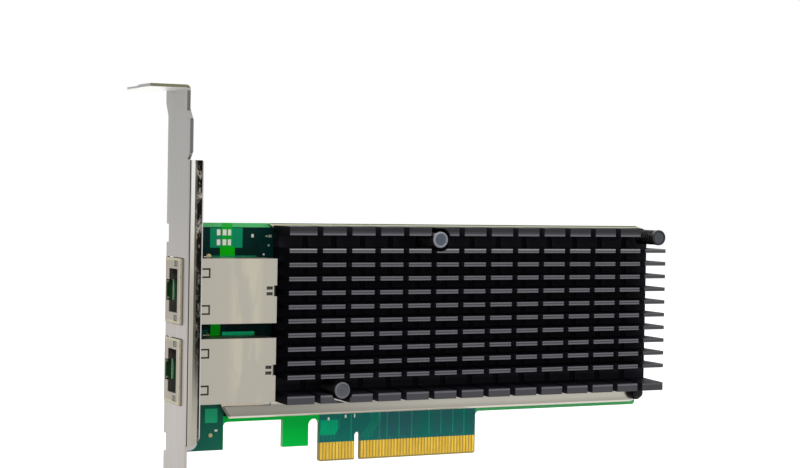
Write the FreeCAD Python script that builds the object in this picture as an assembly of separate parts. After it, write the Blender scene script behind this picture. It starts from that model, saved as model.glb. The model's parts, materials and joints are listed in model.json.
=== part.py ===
import FreeCAD, Part
import math
import os

# A two-port network interface card for an x8 edge slot, in millimetres.
# Origin: centre of the connector's key slot, on the component face, at the level of the contact tips.
# +X runs along the board away from the bracket, the component side faces -Y, and +Z is up.

V = FreeCAD.Vector

# ---- circuit board -------------------------------------------------------------------------
board_thickness = 1.57
board_left = -56.7
board_length = 153.1
board_height = 68.9
body_bottom = 12.65          # lower edge of the board beside the connector
board_corner = 1.0

contact_pitch = 1.0
contact_width = 0.7
contact_top = 5.45
contact_plating = 0.05
contacts_before_key = 11
contacts_after_key = 38
first_contact_offset = 1.5   # from the middle of the key to the nearest contact
contact_margin = 0.65        # from the last contact's middle to the end of the tongue
key_width = 1.9
key_height = 8.1
bevel_height = 0.5
bevel_depth = 0.2
tongue_corner = 0.5

leg_right = -41.8
leg_bottom = 4.8
hook_left = -23.65
hook_width = 8.0
hook_bottom = 4.75
inner_corner = 1.2

# ---- bracket -------------------------------------------------------------------------------
sheet = 0.86                 # thickness of the bracket's steel
bend_radius = 1.3            # outer radius of its folds
bracket_inner = -57.45       # face of the bracket toward the board
bracket_width = 18.42
bracket_near = -15.3         # edge on the component side
bracket_height = 120.02
bracket_top = 106.5
neck_near = -12.6            # narrower part below the tab
neck_far = 5.1
neck_bottom = 102.1
neck_slope = 3.6
shoulder_top = 96.9          # wide part above the stiffening flange
shoulder_bottom = 88.4
flange_top = 86.1
flange_bottom = 8.6
flange_depth = 3.95
flange_corner = 2.7
foot_near = -13.9            # plain part below the flange
foot_slope_top = -2.4
foot_slope_height = 4.0
tongue_width = 10.19
tab_length = 11.43
tab_width = 20.2
tab_step = 0.35              # the far half of the tab is set lower
tab_step_place = 9.2
tab_step_run = 3.0
notch_width = 4.42
notch_depth = 4.6
notch_place = 5.3            # from the tab's outer end to the middle of the screw notch
opening_gap = 0.2            # between a jack and its opening in the bracket
opening_corner = 0.4
ear_length = 8.2
ear_height = 5.0
ear_hole_place = 5.05        # from the bracket's inner face to the screw
ear_inset = 2.9              # from the board's top and bottom edges to an ear's middle
screw_shank = 2.4
screw_head = 4.8
screw_head_height = 1.5
screw_fit = 0.05
screw_clearance = 0.4

# ---- jacks ---------------------------------------------------------------------------------
jack_width = 18.0
jack_length = 28.1
jack_height = 11.0           # above the component face
nose_drop = 2.2              # how far the nose reaches below that face, in front of the board
jack_proud = 0.45            # how far the nose stands out of the bracket
nose_length = 0.85           # how far back the nose's folded wall reaches
jack_drop = 18.6             # from the board's top edge to the upper jack's middle
jack_pitch = 22.1
shield = 0.3
plug_width = 12.0
plug_height = 6.75
plug_depth = 15.5
plug_back_wall = 1.5         # plastic behind the plug opening
plug_floor = -0.9           # side of the plug opening nearest the board
latch_width = 5.8
latch_depth = 2.3
window_length = 2.6          # lamp windows beside the plug opening
window_height = 1.6
window_place = 4.6           # from the top of the jack to the middle of a window
pipe_length = 4.0            # how far a light guide reaches into the plastic
pipe_setback = 0.1
tongue_slot = 0.45           # slots round the spring tongues on the shield's top
tongue_side = 2.7            # width of a spring tongue with its slots
tongue_start = 0.5
tongue_end = 8.35
tongue_spread = 10.1
seam_depth = 0.9             # notch in the shield's rear edge, with two slots before it
seam_width = 3.0
seam_drop = 1.4              # how far down the rear wall the notch goes
seam_slot_start = 3.1
seam_slot_end = 1.3
seam_slot_width = 0.9
seam_slot_spread = 1.6
peg_diameter = 3.2
peg_place = 8.6
peg_spread = 11.4
peg_stickout = 0.8
post_width = 1.6
post_place = 11.4
post_stickout = 0.9
hole_fit = 0.15
inner_gap = 0.1              # between the shield and what it holds
module_gap = 0.6             # between the plastic insert and the transformer block
module_corner = 0.5
wire_pitch = 1.02
wire_count = 8
wire_width = 0.45
wire_thickness = 0.3
wire_dip = 1.5
wire_start = 2.2
wire_reach = 9.0
pin_side = 0.5
pin_pitch = 2.04
pins_per_row = 7
pin_row_gap = 5.08
pin_stickout = 1.1

# ---- heatsink and what holds it ------------------------------------------------------------
frame_thickness = 2.0
frame_bottom = 13.8
frame_inset = 0.2            # from the board's top edge to the frame's
frame_left_bottom = -43.0
frame_left_top = -29.3
frame_side = -27.0           # the upright edge, hidden behind the heatsink
frame_top_slant = 2.7
frame_chamfer = 3.4
frame_slant = 2.3
frame_jack_gap = 0.2         # from the lower jack to the rail's left arm below it
frame_step_width = 1.8       # the arm's upper strip, left of the heatsink, is milled lower
frame_step_depth = 0.6
frame_bevel = 0.6
frame_corner = 3.0
frame_upper_corner = 1.0
window_left = -20.0
window_margin = 10.4         # from the window to the board's right edge
window_bottom = 25.4
window_top = 61.2

sink_left = -28.3
sink_overhang = 0.9          # past the board's right edge
sink_bottom = 18.6
sink_inset = 0.55            # from the board's top edge to the heatsink's
base_thickness = 1.6
base_corner = 2.4
fin_tip = 14.1               # from the component face to the fin tips
fin_last_gap = 2.0           # least room between the last thin fin and the upper edge fin
fin_pitch = 3.933
first_fin_rise = 7.6         # from the heatsink's lower edge to the first thin fin
fin_tip_thickness = 1.15
fin_root_thickness = 1.2
edge_fin_tip = 2.4
edge_fin_root = 2.8
cut_pitch = 9.0
cut_width = 1.85
first_cut = -19.1
cut_into_base = 0.4
corner_length = 8.4          # the fins leave the top right corner open for a pin
corner_drop = 2.4
lobe_radius = 2.2            # ear of the base for the rivet

pin_head = 4.7
pin_head_height = 1.3
pin_head_rise = 0.3          # the heads stand this far above the fin tips
pin_recess = 3.7
pin_recess_depth = 0.35
pin_shaft = 2.2
pin_barb = 3.3
pin_tip = 1.6
pin_tail = 2.4               # how far a pin reaches behind the board
head_edge = 0.3
pin_hole_gap = 0.2
fin_clearance = 6.8
rivet_head = 3.4
rivet_head_height = 1.7
rivet_head_edge = 0.6
spring_wire = 0.5
spring_outer = 4.5
spring_turns = 4.5
spring_steps = 10            # flats in one turn of a spring
spring_sides = 4             # flats round its wire
middle_pin_x = 18.9
middle_pin_drop = 4.1        # from the board's top edge
corner_pin_inset = 1.6       # from the board's right edge
corner_pin_drop = 3.2
left_pin_x = -11.5
left_pin_rise = 9.5          # from the body's lower edge
rivet_inset = 1.7
rivet_rise = 4.15

# ---- parts on the board --------------------------------------------------------------------
chip_x = 4.0
chip_z = 43.4
chip_side = 25.0
chip_height = 1.0
lid_side = 19.0
pad_side = 22.0
pad_thickness = 0.25
lid_edge = 0.3
part_edge = 0.5              # cut corners of the coils and of the crystal's can
side_parts_x = -14.5         # the memory chip and the crystal stand beside the controller
memory_z = 52.0
memory_length = 5.0
memory_width = 3.9
memory_height = 1.5
memory_leads = 4             # on each side
lead_width = 0.4
lead_thickness = 0.15
lead_reach = 1.0
crystal_z = 38.0
crystal_length = 5.0
crystal_width = 3.2
crystal_height = 1.1
supply_left = 34.0           # the converters and coils of the core supply, in columns
supply_pitch = 9.0
supply_count = 3
coil_z = 52.0
coil_side = 6.0
coil_height = 1.8
converter_z = 44.0
converter_side = 5.0
converter_height = 0.9
bulk_pitch = 3.0             # large ceramic capacitors below the converters
bulk_columns = 9
bulk_rows = 2
bulk_left = 32.0
bulk_top = 36.0
bulk_length = 1.0
bulk_width = 1.9
bulk_height = 0.9
small_length = 1.6           # small capacitors and resistors
small_width = 0.8
small_height = 0.8
resistor_height = 0.45
decoupling_columns = 6
decoupling_rows = 5
decoupling_pitch = 3.3
resistor_pitch = 3.3
resistor_count = 8
resistor_row_z = 48.0
resistor_column_x = -26.0
resistor_column_z = 30.0
lane_part_z = 8.8            # coupling capacitors behind the contacts
lane_part_start = 3.0
lane_part_pitch = 2.2
lane_part_count = 16
lane_part_length = 0.5
lane_part_width = 1.0
lane_part_height = 0.35


# ---- shapes --------------------------------------------------------------------------------
def block(x0, x1, y0, y1, z0, z1):
    """A box between two corners."""
    return Part.makeBox(x1 - x0, y1 - y0, z1 - z0, V(x0, y0, z0))


def rod(x, z, radius, y0, y1):
    """A round bar along Y."""
    return Part.makeCylinder(radius, y1 - y0, V(x, y0, z), V(0, 1, 0))


def corner_edges(before, corner, after, radius):
    """The start and end of the rounding at one corner, with a point on its arc."""
    to_before = (before - corner).normalize()
    to_after = (after - corner).normalize()
    half = to_before.getAngle(to_after) / 2
    reach = radius / math.tan(half)
    start = corner + to_before * reach
    end = corner + to_after * reach
    middle_way = (to_before + to_after).normalize()
    middle = corner + middle_way * (radius / math.sin(half) - radius)
    return start, middle, end


def outline_face(corners, place):
    """A flat face from corners (u, v, radius); place turns (u, v) into a point."""
    points = [place(u, v) for u, v, radius in corners]
    runs = []
    for index, (u, v, radius) in enumerate(corners):
        before = points[index - 1]
        after = points[(index + 1) % len(points)]
        if radius > 0:
            runs.append(corner_edges(before, points[index], after, radius))
        else:
            runs.append((points[index], None, points[index]))
    edges = []
    for index, (start, middle, end) in enumerate(runs):
        if middle is not None:
            edges.append(Part.Arc(start, middle, end).toShape())
        following = runs[(index + 1) % len(runs)][0]
        if end.distanceToPoint(following) > 1e-4:
            edges.append(Part.LineSegment(end, following).toShape())
    return Part.Face(Part.Wire(edges))


def plate_xz(corners, y0, y1):
    """A plate along the board: an outline in X and Z, between two depths."""
    face = outline_face(corners, lambda u, v: V(u, y0, v))
    return face.extrude(V(0, y1 - y0, 0))


def plate_yz(corners, x0, x1):
    """A plate along the bracket: an outline in Y and Z."""
    face = outline_face(corners, lambda u, v: V(x0, u, v))
    return face.extrude(V(x1 - x0, 0, 0))


def plate_xy(corners, z0, z1):
    """A level plate or a section carried upright: an outline in X and Y."""
    face = outline_face(corners, lambda u, v: V(u, v, z0))
    return face.extrude(V(0, 0, z1 - z0))


def sharp(points):
    """Corners with no rounding."""
    return [(u, v, 0) for u, v in points]


def fused(shapes):
    """One solid from shapes that touch."""
    return shapes[0].multiFuse(shapes[1:]).removeSplitter()


def group(shapes):
    """Separate solids in one node."""
    return Part.makeCompound(shapes)


# ---- places worked out from the sizes --------------------------------------------------------
board_right = board_left + board_length
frame_top = board_height - frame_inset
sink_right = board_right + sink_overhang
sink_top = board_height - sink_inset
pin_places = {
    "upper_middle": (middle_pin_x, board_height - middle_pin_drop),
    "upper_right": (board_right - corner_pin_inset, board_height - corner_pin_drop),
    "lower_left": (left_pin_x, body_bottom + left_pin_rise),
}
rivet_place = (board_right - rivet_inset, body_bottom + rivet_rise)
bracket_outer = bracket_inner - sheet
bracket_far = bracket_near + bracket_width
tongue_left = -(first_contact_offset + (contacts_before_key - 1) * contact_pitch + contact_margin)
tongue_right = first_contact_offset + (contacts_after_key - 1) * contact_pitch + contact_margin
jack_front = bracket_outer - jack_proud
jack_rear = jack_front + jack_length
jack_top = -jack_height
base_back = -frame_thickness
base_front = base_back - base_thickness
screw_x = bracket_inner + ear_hole_place
head_face = -fin_tip - pin_head_rise
jack_centres = {"upper": board_height - jack_drop, "lower": board_height - jack_drop - jack_pitch}
ear_centres = (board_height - ear_inset, leg_bottom + ear_inset)
frame_arm_top = jack_centres["lower"] - jack_width / 2 - frame_jack_gap
first_fin = sink_bottom + first_fin_rise
fin_room = sink_top - edge_fin_root - fin_last_gap - fin_root_thickness / 2 - first_fin
fin_rows = int(fin_room / fin_pitch) + 1


def pin_grid(centre):
    """Places of one jack's solder pins."""
    last_row = jack_rear - shield - inner_gap - pin_pitch
    places = []
    for x in (last_row - pin_row_gap, last_row):
        for index in range(pins_per_row):
            places.append((x, centre + (index - (pins_per_row - 1) / 2) * pin_pitch))
    return places


def peg_grid(centre):
    """Places of one jack's locating pegs."""
    return [(jack_front + peg_place, centre + side * peg_spread / 2) for side in (-1, 1)]


def board_outline():
    """The board with its slot tongue, key, hook and leg."""
    hook_right = hook_left + hook_width
    notch_round = (tongue_left - hook_right) / 2
    notch_top = body_bottom - 0.15
    return [
        (board_left, board_height, board_corner),
        (board_right, board_height, board_corner),
        (board_right, body_bottom, board_corner),
        (tongue_right, body_bottom, inner_corner),
        (tongue_right, 0, tongue_corner),
        (key_width / 2, 0, 0),
        (key_width / 2, key_height, key_width / 2),
        (-key_width / 2, key_height, key_width / 2),
        (-key_width / 2, 0, 0),
        (tongue_left, 0, tongue_corner),
        (tongue_left, notch_top, notch_round),
        (hook_right, notch_top, notch_round),
        (hook_right, hook_bottom, 0),
        (hook_left, hook_bottom, 0),
        (hook_left, body_bottom, 0),
        (leg_right, body_bottom, inner_corner),
        (leg_right, leg_bottom, 0),
        (board_left, leg_bottom, 0),
    ]


def bevel(side_face, inward):
    """The wedge that is cut from one side of the contact tongue."""
    reach = side_face + inward * bevel_depth
    corners = sharp([(side_face - inward, -1.0), (reach, -1.0), (reach, 0), (side_face, bevel_height),
                     (side_face - inward, bevel_height)])
    return plate_yz(corners, tongue_left - 1, tongue_right + 1)


def circuit_board():
    """The laminate with every hole that something passes through."""
    board = plate_xz(board_outline(), 0, board_thickness)
    cuts = [bevel(0, 1), bevel(board_thickness, -1)]
    radius = screw_shank / 2 + screw_clearance
    for z in ear_centres:
        cuts.append(rod(screw_x, z, radius, -1, board_thickness + 1))
    for x, z in list(pin_places.values()) + [rivet_place]:
        cuts.append(rod(x, z, pin_shaft / 2 + pin_hole_gap, -1, board_thickness + 1))
    for centre in jack_centres.values():
        for x, z in pin_grid(centre):
            side = pin_side / 2 + hole_fit
            cuts.append(block(x - side, x + side, -1, board_thickness + 1, z - side, z + side))
        for x, z in peg_grid(centre):
            cuts.append(rod(x, z, peg_diameter / 2 + hole_fit, -1, board_thickness + 1))
        for side in (-1, 1):
            middle = centre + side * (jack_width / 2 - shield / 2)
            x = jack_front + post_place
            reach = post_width / 2 + hole_fit
            rise = shield / 2 + hole_fit
            cuts.append(block(x - reach, x + reach, -1, board_thickness + 1, middle - rise, middle + rise))
    return board.cut(cuts)


def contact_strip(side_face, outward):
    """Gold contacts on one side, from the bevel up."""
    skin = side_face + outward * contact_plating
    corners = sharp([(side_face, contact_top), (skin, contact_top), (skin, bevel_height),
                     (side_face, bevel_height)])
    contacts = []
    before = [-(first_contact_offset + n * contact_pitch) for n in range(contacts_before_key)]
    after = [first_contact_offset + n * contact_pitch for n in range(contacts_after_key)]
    for x in before + after:
        contacts.append(plate_yz(corners, x - contact_width / 2, x + contact_width / 2))
    return group(contacts)


# ---- bracket -------------------------------------------------------------------------------
def bracket_outline():
    """The bracket's face: neck, shoulder, flanged length and slot tongue."""
    bottom = bracket_top - bracket_height
    middle = (foot_near + bracket_far) / 2
    near_tongue = middle - tongue_width / 2
    far_tongue = middle + tongue_width / 2
    foot_end = foot_slope_top - foot_slope_height
    bend_start = bracket_near + bend_radius
    relief = bend_start + 0.8
    head = bracket_top - bend_radius
    return sharp([
        (neck_near, head), (neck_near, shoulder_top + 3.1), (bracket_near, shoulder_top),
        (bracket_near, shoulder_bottom), (relief, flange_top + 0.2), (relief, flange_top),
        (bend_start, flange_top), (bend_start, flange_bottom), (foot_near, flange_bottom),
        (foot_near, foot_slope_top), (near_tongue, foot_end), (near_tongue, bottom),
        (far_tongue, bottom), (far_tongue, foot_end), (bracket_far, foot_slope_top),
        (bracket_far, neck_bottom - neck_slope), (neck_far, neck_bottom), (neck_far, head),
    ])


def flange():
    """The stiffening flange, folded toward the board on the component side."""
    end = bracket_outer + flange_depth
    start = bracket_near + bend_radius
    inner_radius = bend_radius - sheet
    section = [
        (bracket_outer, start, 0), (bracket_outer, bracket_near, bend_radius), (end, bracket_near, 0),
        (end, bracket_near + sheet, 0), (bracket_inner, bracket_near + sheet, inner_radius),
        (bracket_inner, start, 0),
    ]
    strip = plate_xy(section, flange_bottom, flange_top)
    low = bracket_outer + bend_radius
    far_side = bracket_near + bend_radius
    keep = plate_xz([
        (low - 2 * bend_radius, flange_top, 0), (end, flange_top, 0.6), (end, flange_bottom, flange_corner),
        (low - 2 * bend_radius, flange_bottom, 0),
    ], bracket_near - 1, far_side + 1)
    return strip.common(keep)


def tab_section():
    """The top tab from its fold outward, with the far half set lower."""
    outer_end = bracket_inner - tab_length
    head = bracket_top - sheet
    inner_radius = bend_radius - sheet
    fold = [
        (bracket_inner, bracket_top - bend_radius, 0), (bracket_inner, bracket_top, bend_radius),
        (bracket_outer - 1, bracket_top, 0), (bracket_outer - 1, head, 0),
        (bracket_outer, head, inner_radius), (bracket_outer, bracket_top - bend_radius, 0),
    ]
    face = outline_face(fold, lambda u, v: V(u, neck_near, v))
    bend = face.extrude(V(0, neck_far - neck_near, 0))
    step = neck_near + tab_step_place
    end = neck_near + tab_width
    leaf = plate_yz(sharp([
        (neck_near, bracket_top), (step, bracket_top), (step + tab_step_run, bracket_top - tab_step),
        (end, bracket_top - tab_step), (end, head - tab_step), (step + tab_step_run, head - tab_step),
        (step, head), (neck_near, head),
    ]), outer_end, bracket_outer - 1)
    blend = plate_yz(sharp([
        (neck_near, bracket_top), (step, bracket_top), (step, head), (neck_near, head),
    ]), bracket_outer - 1.01, bracket_outer - 0.99)
    return [bend, leaf, blend]


def screw_notch():
    """The U-shaped notch for the chassis screw, open on the far side of the tab."""
    outer_end = bracket_inner - tab_length
    x = outer_end + notch_place
    far = neck_near + tab_width
    radius = notch_width / 2
    low = bracket_top - sheet - tab_step - 1
    end = far - notch_depth + radius
    slot = block(x - radius, x + radius, end, far + 1, low, bracket_top + 1)
    round_end = Part.makeCylinder(radius, bracket_top + 1 - low, V(x, end, low))
    return slot.fuse(round_end)


def ear(z):
    """A lug folded onto the back of the board, with a threaded hole."""
    back = board_thickness + sheet
    inner_radius = bend_radius - sheet
    section = [
        (bracket_outer, back - bend_radius, 0), (bracket_outer, back, bend_radius),
        (bracket_inner + ear_length, back, 0), (bracket_inner + ear_length, board_thickness, 0),
        (bracket_inner, board_thickness, inner_radius), (bracket_inner, back - bend_radius, 0),
    ]
    lug = plate_xy(section, z - ear_height / 2, z + ear_height / 2)
    return lug.cut(rod(screw_x, z, screw_shank / 2 + screw_fit, board_thickness - 1, back + 1))


def jack_opening(centre):
    """The hole in the bracket that a jack's nose passes through."""
    near = jack_top - opening_gap
    far = nose_drop + opening_gap
    half = jack_width / 2 + opening_gap
    return plate_yz([
        (near, centre - half, opening_corner), (far, centre - half, opening_corner),
        (far, centre + half, opening_corner), (near, centre + half, opening_corner),
    ], bracket_outer - 1, bracket_inner + 1)


def io_bracket():
    """One folded steel sheet: face, flange, tab and two ears."""
    face = plate_yz(bracket_outline(), bracket_outer, bracket_inner)
    fold_line = board_thickness + sheet - bend_radius
    reliefs = []
    for z in ear_centres:
        half = ear_height / 2
        reliefs.append(block(bracket_outer - 1, bracket_inner + 1, fold_line, bracket_far + 1,
                             z - half, z + half))
    face = face.cut(reliefs + [jack_opening(centre) for centre in jack_centres.values()])
    sheet_parts = [face, flange()] + tab_section() + [ear(z) for z in ear_centres]
    return fused(sheet_parts).cut(screw_notch())


def bracket_screws():
    """Two screws through the board into the bracket's ears."""
    screws = []
    for z in ear_centres:
        shank = rod(screw_x, z, screw_shank / 2, 0, board_thickness + sheet)
        head = rod(screw_x, z, screw_head / 2, -screw_head_height, 0)
        screws.append(head.fuse(shank))
    return group(screws)


# ---- jacks ---------------------------------------------------------------------------------
def plug_opening(centre, x0, x1, grow):
    """The stepped opening for a plug and its latch, widened on every side by grow."""
    half = plug_width / 2 + grow
    latch = latch_width / 2 + grow
    top = plug_floor - plug_height - grow
    floor = plug_floor + grow
    return plate_yz(sharp([
        (top, centre - half), (floor, centre - half), (floor, centre - latch),
        (plug_floor + latch_depth + grow, centre - latch), (plug_floor + latch_depth + grow, centre + latch),
        (floor, centre + latch), (floor, centre + half), (top, centre + half),
    ]), x0, x1)


def window_boxes(centre, x0, x1, shrink):
    """The two lamp windows beside the plug opening."""
    middle = jack_top + window_place
    boxes = []
    for side in (-1, 1):
        z = centre + side * (plug_width / 2 + jack_width / 2) / 2
        reach = window_length / 2 - shrink
        rise = window_height / 2 - shrink
        boxes.append(block(x0, x1, middle - reach, middle + reach, z - rise, z + rise))
    return boxes


def tongue_slots(z):
    """The U-shaped slot that frees a long spring tongue on the shield's top."""
    low = jack_top - 1
    high = jack_top + shield + 1e-3
    outer = block(jack_front + tongue_start, jack_front + tongue_end, low, high,
                  z - tongue_side / 2, z + tongue_side / 2)
    inner = block(jack_front, jack_front + tongue_end - tongue_slot, low - 1, high + 1,
                  z - tongue_side / 2 + tongue_slot, z + tongue_side / 2 - tongue_slot)
    return outer.cut(inner)


def seam_cuts(centre):
    """The notch at the rear of the shield's top and the two small slots before it."""
    low = jack_top - 1
    high = jack_top + shield + 1e-3
    cuts = [block(jack_rear - seam_depth, jack_rear + 1, low, jack_top + seam_drop,
                  centre - seam_width / 2, centre + seam_width / 2)]
    for side in (-1, 1):
        z = centre + side * seam_slot_spread / 2
        cuts.append(block(jack_rear - seam_slot_start, jack_rear - seam_slot_end, low, high,
                          z - seam_slot_width / 2, z + seam_slot_width / 2))
    return cuts


def jack_shield(centre):
    """The folded tin shell: front, top, two sides and back, open toward the board."""
    half = jack_width / 2
    shell = block(jack_front, jack_rear, jack_top, 0, centre - half, centre + half)
    nose = block(jack_front, jack_front + nose_length, jack_top, nose_drop, centre - half, centre + half)
    hollow = block(jack_front + shield, jack_rear - shield, jack_top + shield, 1,
                   centre - half + shield, centre + half - shield)
    nose_hollow = block(jack_front + shield, jack_front + nose_length + 1, jack_top + shield,
                        nose_drop - shield, centre - half + shield, centre + half - shield)
    shell = shell.fuse(nose).cut([hollow, nose_hollow])
    cuts = [plug_opening(centre, jack_front - 1, jack_front + shield + 0.01, 0)]
    cuts += window_boxes(centre, jack_front - 1, jack_front + shield + 0.01, 0)
    cuts += seam_cuts(centre)
    for side in (-1, 1):
        cuts.append(tongue_slots(centre + side * tongue_spread / 2))
    posts = []
    for side in (-1, 1):
        inner = centre + side * (half - shield)
        outer = centre + side * half
        x = jack_front + post_place
        posts.append(block(x - post_width / 2, x + post_width / 2, -0.5, board_thickness + post_stickout,
                           min(inner, outer), max(inner, outer)))
    return fused([shell.cut(cuts)] + posts)


def jack_housing(centre):
    """The plastic insert with the plug's opening and two locating pegs."""
    half = jack_width / 2 - shield - inner_gap
    front = jack_front + shield + inner_gap
    back = jack_front + plug_depth + plug_back_wall
    top = jack_top + shield + inner_gap
    body = block(front, back, top, 0, centre - half, centre + half)
    chin = block(jack_front + nose_length + inner_gap, board_left - inner_gap, top, nose_drop,
                 centre - half, centre + half)
    pegs = [rod(x, z, peg_diameter / 2, 0, board_thickness + peg_stickout) for x, z in peg_grid(centre)]
    bore = plug_opening(centre, front - 1, jack_front + plug_depth, 0)
    cuts = [bore] + window_boxes(centre, front - 1, front + pipe_length, -inner_gap)
    roof = plug_floor - plug_height
    span = (wire_count - 1) * wire_pitch / 2 + wire_width / 2 + hole_fit
    cuts.append(block(jack_front + wire_start - hole_fit, jack_front + wire_reach + hole_fit,
                      roof - wire_thickness, roof + 1, centre - span, centre + span))
    return fused([body, chin] + pegs).cut(cuts)


def jack_contacts(centre):
    """Eight spring contacts that slope down from the roof of the plug opening."""
    roof = plug_floor - plug_height
    start = jack_front + wire_start
    end = jack_front + wire_reach
    low = roof + wire_dip
    middle = (start + end) / 2
    corners = sharp([
        (start, roof - wire_thickness), (middle, roof - wire_thickness), (end, low - wire_thickness),
        (end - 0.3, low), (middle - 0.3, roof), (start, roof),
    ])
    wires = []
    for index in range(wire_count):
        z = centre + (index - (wire_count - 1) / 2) * wire_pitch
        wires.append(plate_xy(corners, z - wire_width / 2, z + wire_width / 2))
    return group(wires)


def jack_light_pipes(centre):
    """Two clear light guides behind the lamp windows."""
    end = jack_front + shield + inner_gap + pipe_length
    return group(window_boxes(centre, jack_front + pipe_setback, end, inner_gap))


def jack_module(centre):
    """The potted block of transformers behind the plug opening."""
    half = jack_width / 2 - shield - inner_gap
    front = jack_front + plug_depth + plug_back_wall + module_gap
    back = jack_rear - shield - inner_gap
    body = block(front, back, jack_top + shield + inner_gap, 0, centre - half, centre + half)
    return cut_corners(body, module_corner)


def jack_solder_pins(centre):
    """Square pins from the transformer block through the board."""
    pins = []
    for x, z in pin_grid(centre):
        side = pin_side / 2
        pins.append(block(x - side, x + side, 0, board_thickness + pin_stickout, z - side, z + side))
    return group(pins)


# ---- heatsink ------------------------------------------------------------------------------
def fin_section():
    """The extruded comb: a base with a thick fin at each edge and thin fins between."""
    corners = [(base_back, sink_bottom), (base_front, sink_bottom)]
    lean = (edge_fin_root - edge_fin_tip)
    corners[1] = (-fin_tip, sink_bottom)
    corners.append((-fin_tip, sink_bottom + edge_fin_tip))
    corners.append((base_front, sink_bottom + edge_fin_tip + lean))
    for row in range(fin_rows):
        z = first_fin + row * fin_pitch
        corners.append((base_front, z - fin_root_thickness / 2))
        corners.append((-fin_tip, z - fin_tip_thickness / 2))
        corners.append((-fin_tip, z + fin_tip_thickness / 2))
        corners.append((base_front, z + fin_root_thickness / 2))
    corners.append((base_front, sink_top - edge_fin_tip - lean))
    corners.append((-fin_tip, sink_top - edge_fin_tip))
    corners.append((-fin_tip, sink_top))
    corners.append((base_back, sink_top))
    return sharp(corners)


def base_corner_cut():
    """What leaves the base's upper right corner round."""
    x = sink_right - base_corner
    z = sink_top - base_corner
    corner = block(x, sink_right + 1, -fin_tip - 1, base_back + 1, z, sink_top + 1)
    return corner.cut(rod(x, z, base_corner, -fin_tip - 2, base_back + 2))


def heatsink():
    """The comb, cut across, with room round each pin and an ear for the rivet."""
    comb = plate_yz(fin_section(), sink_left, sink_right)
    cuts = [base_corner_cut()]
    count = int((sink_right - first_cut) / cut_pitch) + 1
    for index in range(count):
        x = first_cut + index * cut_pitch
        if x + cut_width / 2 < sink_right:
            cuts.append(block(x - cut_width / 2, x + cut_width / 2, -fin_tip - 1, base_front + cut_into_base,
                              sink_bottom - 1, sink_top + 1))
    for x, z in pin_places.values():
        cuts.append(rod(x, z, fin_clearance / 2, -fin_tip - 1, base_front))
        cuts.append(rod(x, z, pin_shaft / 2 + pin_hole_gap, base_front - 1, base_back + 1))
    cuts.append(block(sink_right - corner_length, sink_right + 1, -fin_tip - 1, base_front,
                      sink_top - corner_drop, sink_top + 1))
    x, z = rivet_place
    lobe = rod(x, z, lobe_radius, base_front, base_back)
    hole = rod(x, z, pin_shaft / 2 + pin_hole_gap, base_front - 1, base_back + 1)
    return comb.cut(cuts).fuse(lobe).cut(hole)


def frame_outline():
    """The frame's outer edge, with the slanted upper left corner and the arm below the jack."""
    return [
        (frame_left_bottom, jack_centres["lower"], 0), (frame_side, jack_centres["lower"], 0),
        (frame_side, frame_top - frame_top_slant, 0), (frame_left_top, frame_top, 0),
        (board_right, frame_top, frame_upper_corner), (board_right, frame_bottom, frame_corner),
        (frame_left_bottom + frame_slant, frame_bottom, 0),
        (frame_left_bottom, frame_bottom + frame_chamfer, 0),
    ]


def heatsink_frame():
    """The bright metal frame between the board and the heatsink."""
    frame = plate_xz(frame_outline(), base_back, 0)
    lower_edges = []
    for edge in frame.Edges:
        middle = edge.CenterOfMass
        if abs(middle.y - base_back) < 1e-4 and middle.z < frame_bottom + frame_chamfer / 2 + 0.1:
            lower_edges.append(edge)
    frame = frame.makeChamfer(frame_bevel, lower_edges)
    cuts = [block(window_left, board_right - window_margin, base_back - 1, 1, window_bottom, window_top)]
    cuts.append(block(frame_left_bottom - 1, frame_side, base_back - 1, 1,
                      frame_arm_top, jack_centres["lower"] + 1))
    cuts.append(block(frame_left_bottom - 1, sink_left, base_back - 1, base_back + frame_step_depth,
                      frame_arm_top - frame_step_width, frame_arm_top + 1))
    for x, z in list(pin_places.values()) + [rivet_place]:
        cuts.append(rod(x, z, pin_shaft / 2 + pin_hole_gap, base_back - 1, 1))
    return frame.cut(cuts)


def barbed_tail(x, z):
    """The barbed end behind the board."""
    return Part.makeCone(pin_barb / 2, pin_tip / 2, pin_tail, V(x, board_thickness, z), V(0, 1, 0))


def cut_edge_head(x, z, diameter, face, height, edge):
    """A round head with its outer edge cut off."""
    head = rod(x, z, diameter / 2, face, face + height)
    rim = [e for e in head.Edges if abs(e.CenterOfMass.y - face) < 1e-4]
    return head.makeChamfer(edge, rim[:1])


def push_pin(x, z):
    """A spring-loaded plastic pin: dished head, shaft and barbed tail."""
    head = cut_edge_head(x, z, pin_head, head_face, pin_head_height, head_edge)
    head = head.cut(rod(x, z, pin_recess / 2, head_face - 1, head_face + pin_recess_depth))
    shaft = rod(x, z, pin_shaft / 2, head_face + pin_head_height, board_thickness)
    return fused([head, shaft, barbed_tail(x, z)])


def push_rivet(x, z):
    """The low plastic rivet in the corner, pressed home."""
    face = base_front - rivet_head_height
    head = cut_edge_head(x, z, rivet_head, face, rivet_head_height, rivet_head_edge)
    shaft = rod(x, z, pin_shaft / 2, base_front, board_thickness)
    return fused([head, shaft, barbed_tail(x, z)])


def skinned_tube(points, rings, sides):
    """A closed skin of flat triangles over rings of points, with a cap at each end."""
    triangles = []
    for ring in range(rings - 1):
        for side in range(sides):
            here = ring * sides + side
            beside = ring * sides + (side + 1) % sides
            triangles.append((here, beside, beside + sides))
            triangles.append((here, beside + sides, here + sides))
    last = (rings - 1) * sides
    for side in range(1, sides - 1):
        triangles.append((0, side + 1, side))
        triangles.append((last, last + side, last + side + 1))
    skin = Part.Shape()
    skin.makeShapeFromMesh((points, triangles), 1e-4)
    return skin


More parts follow.
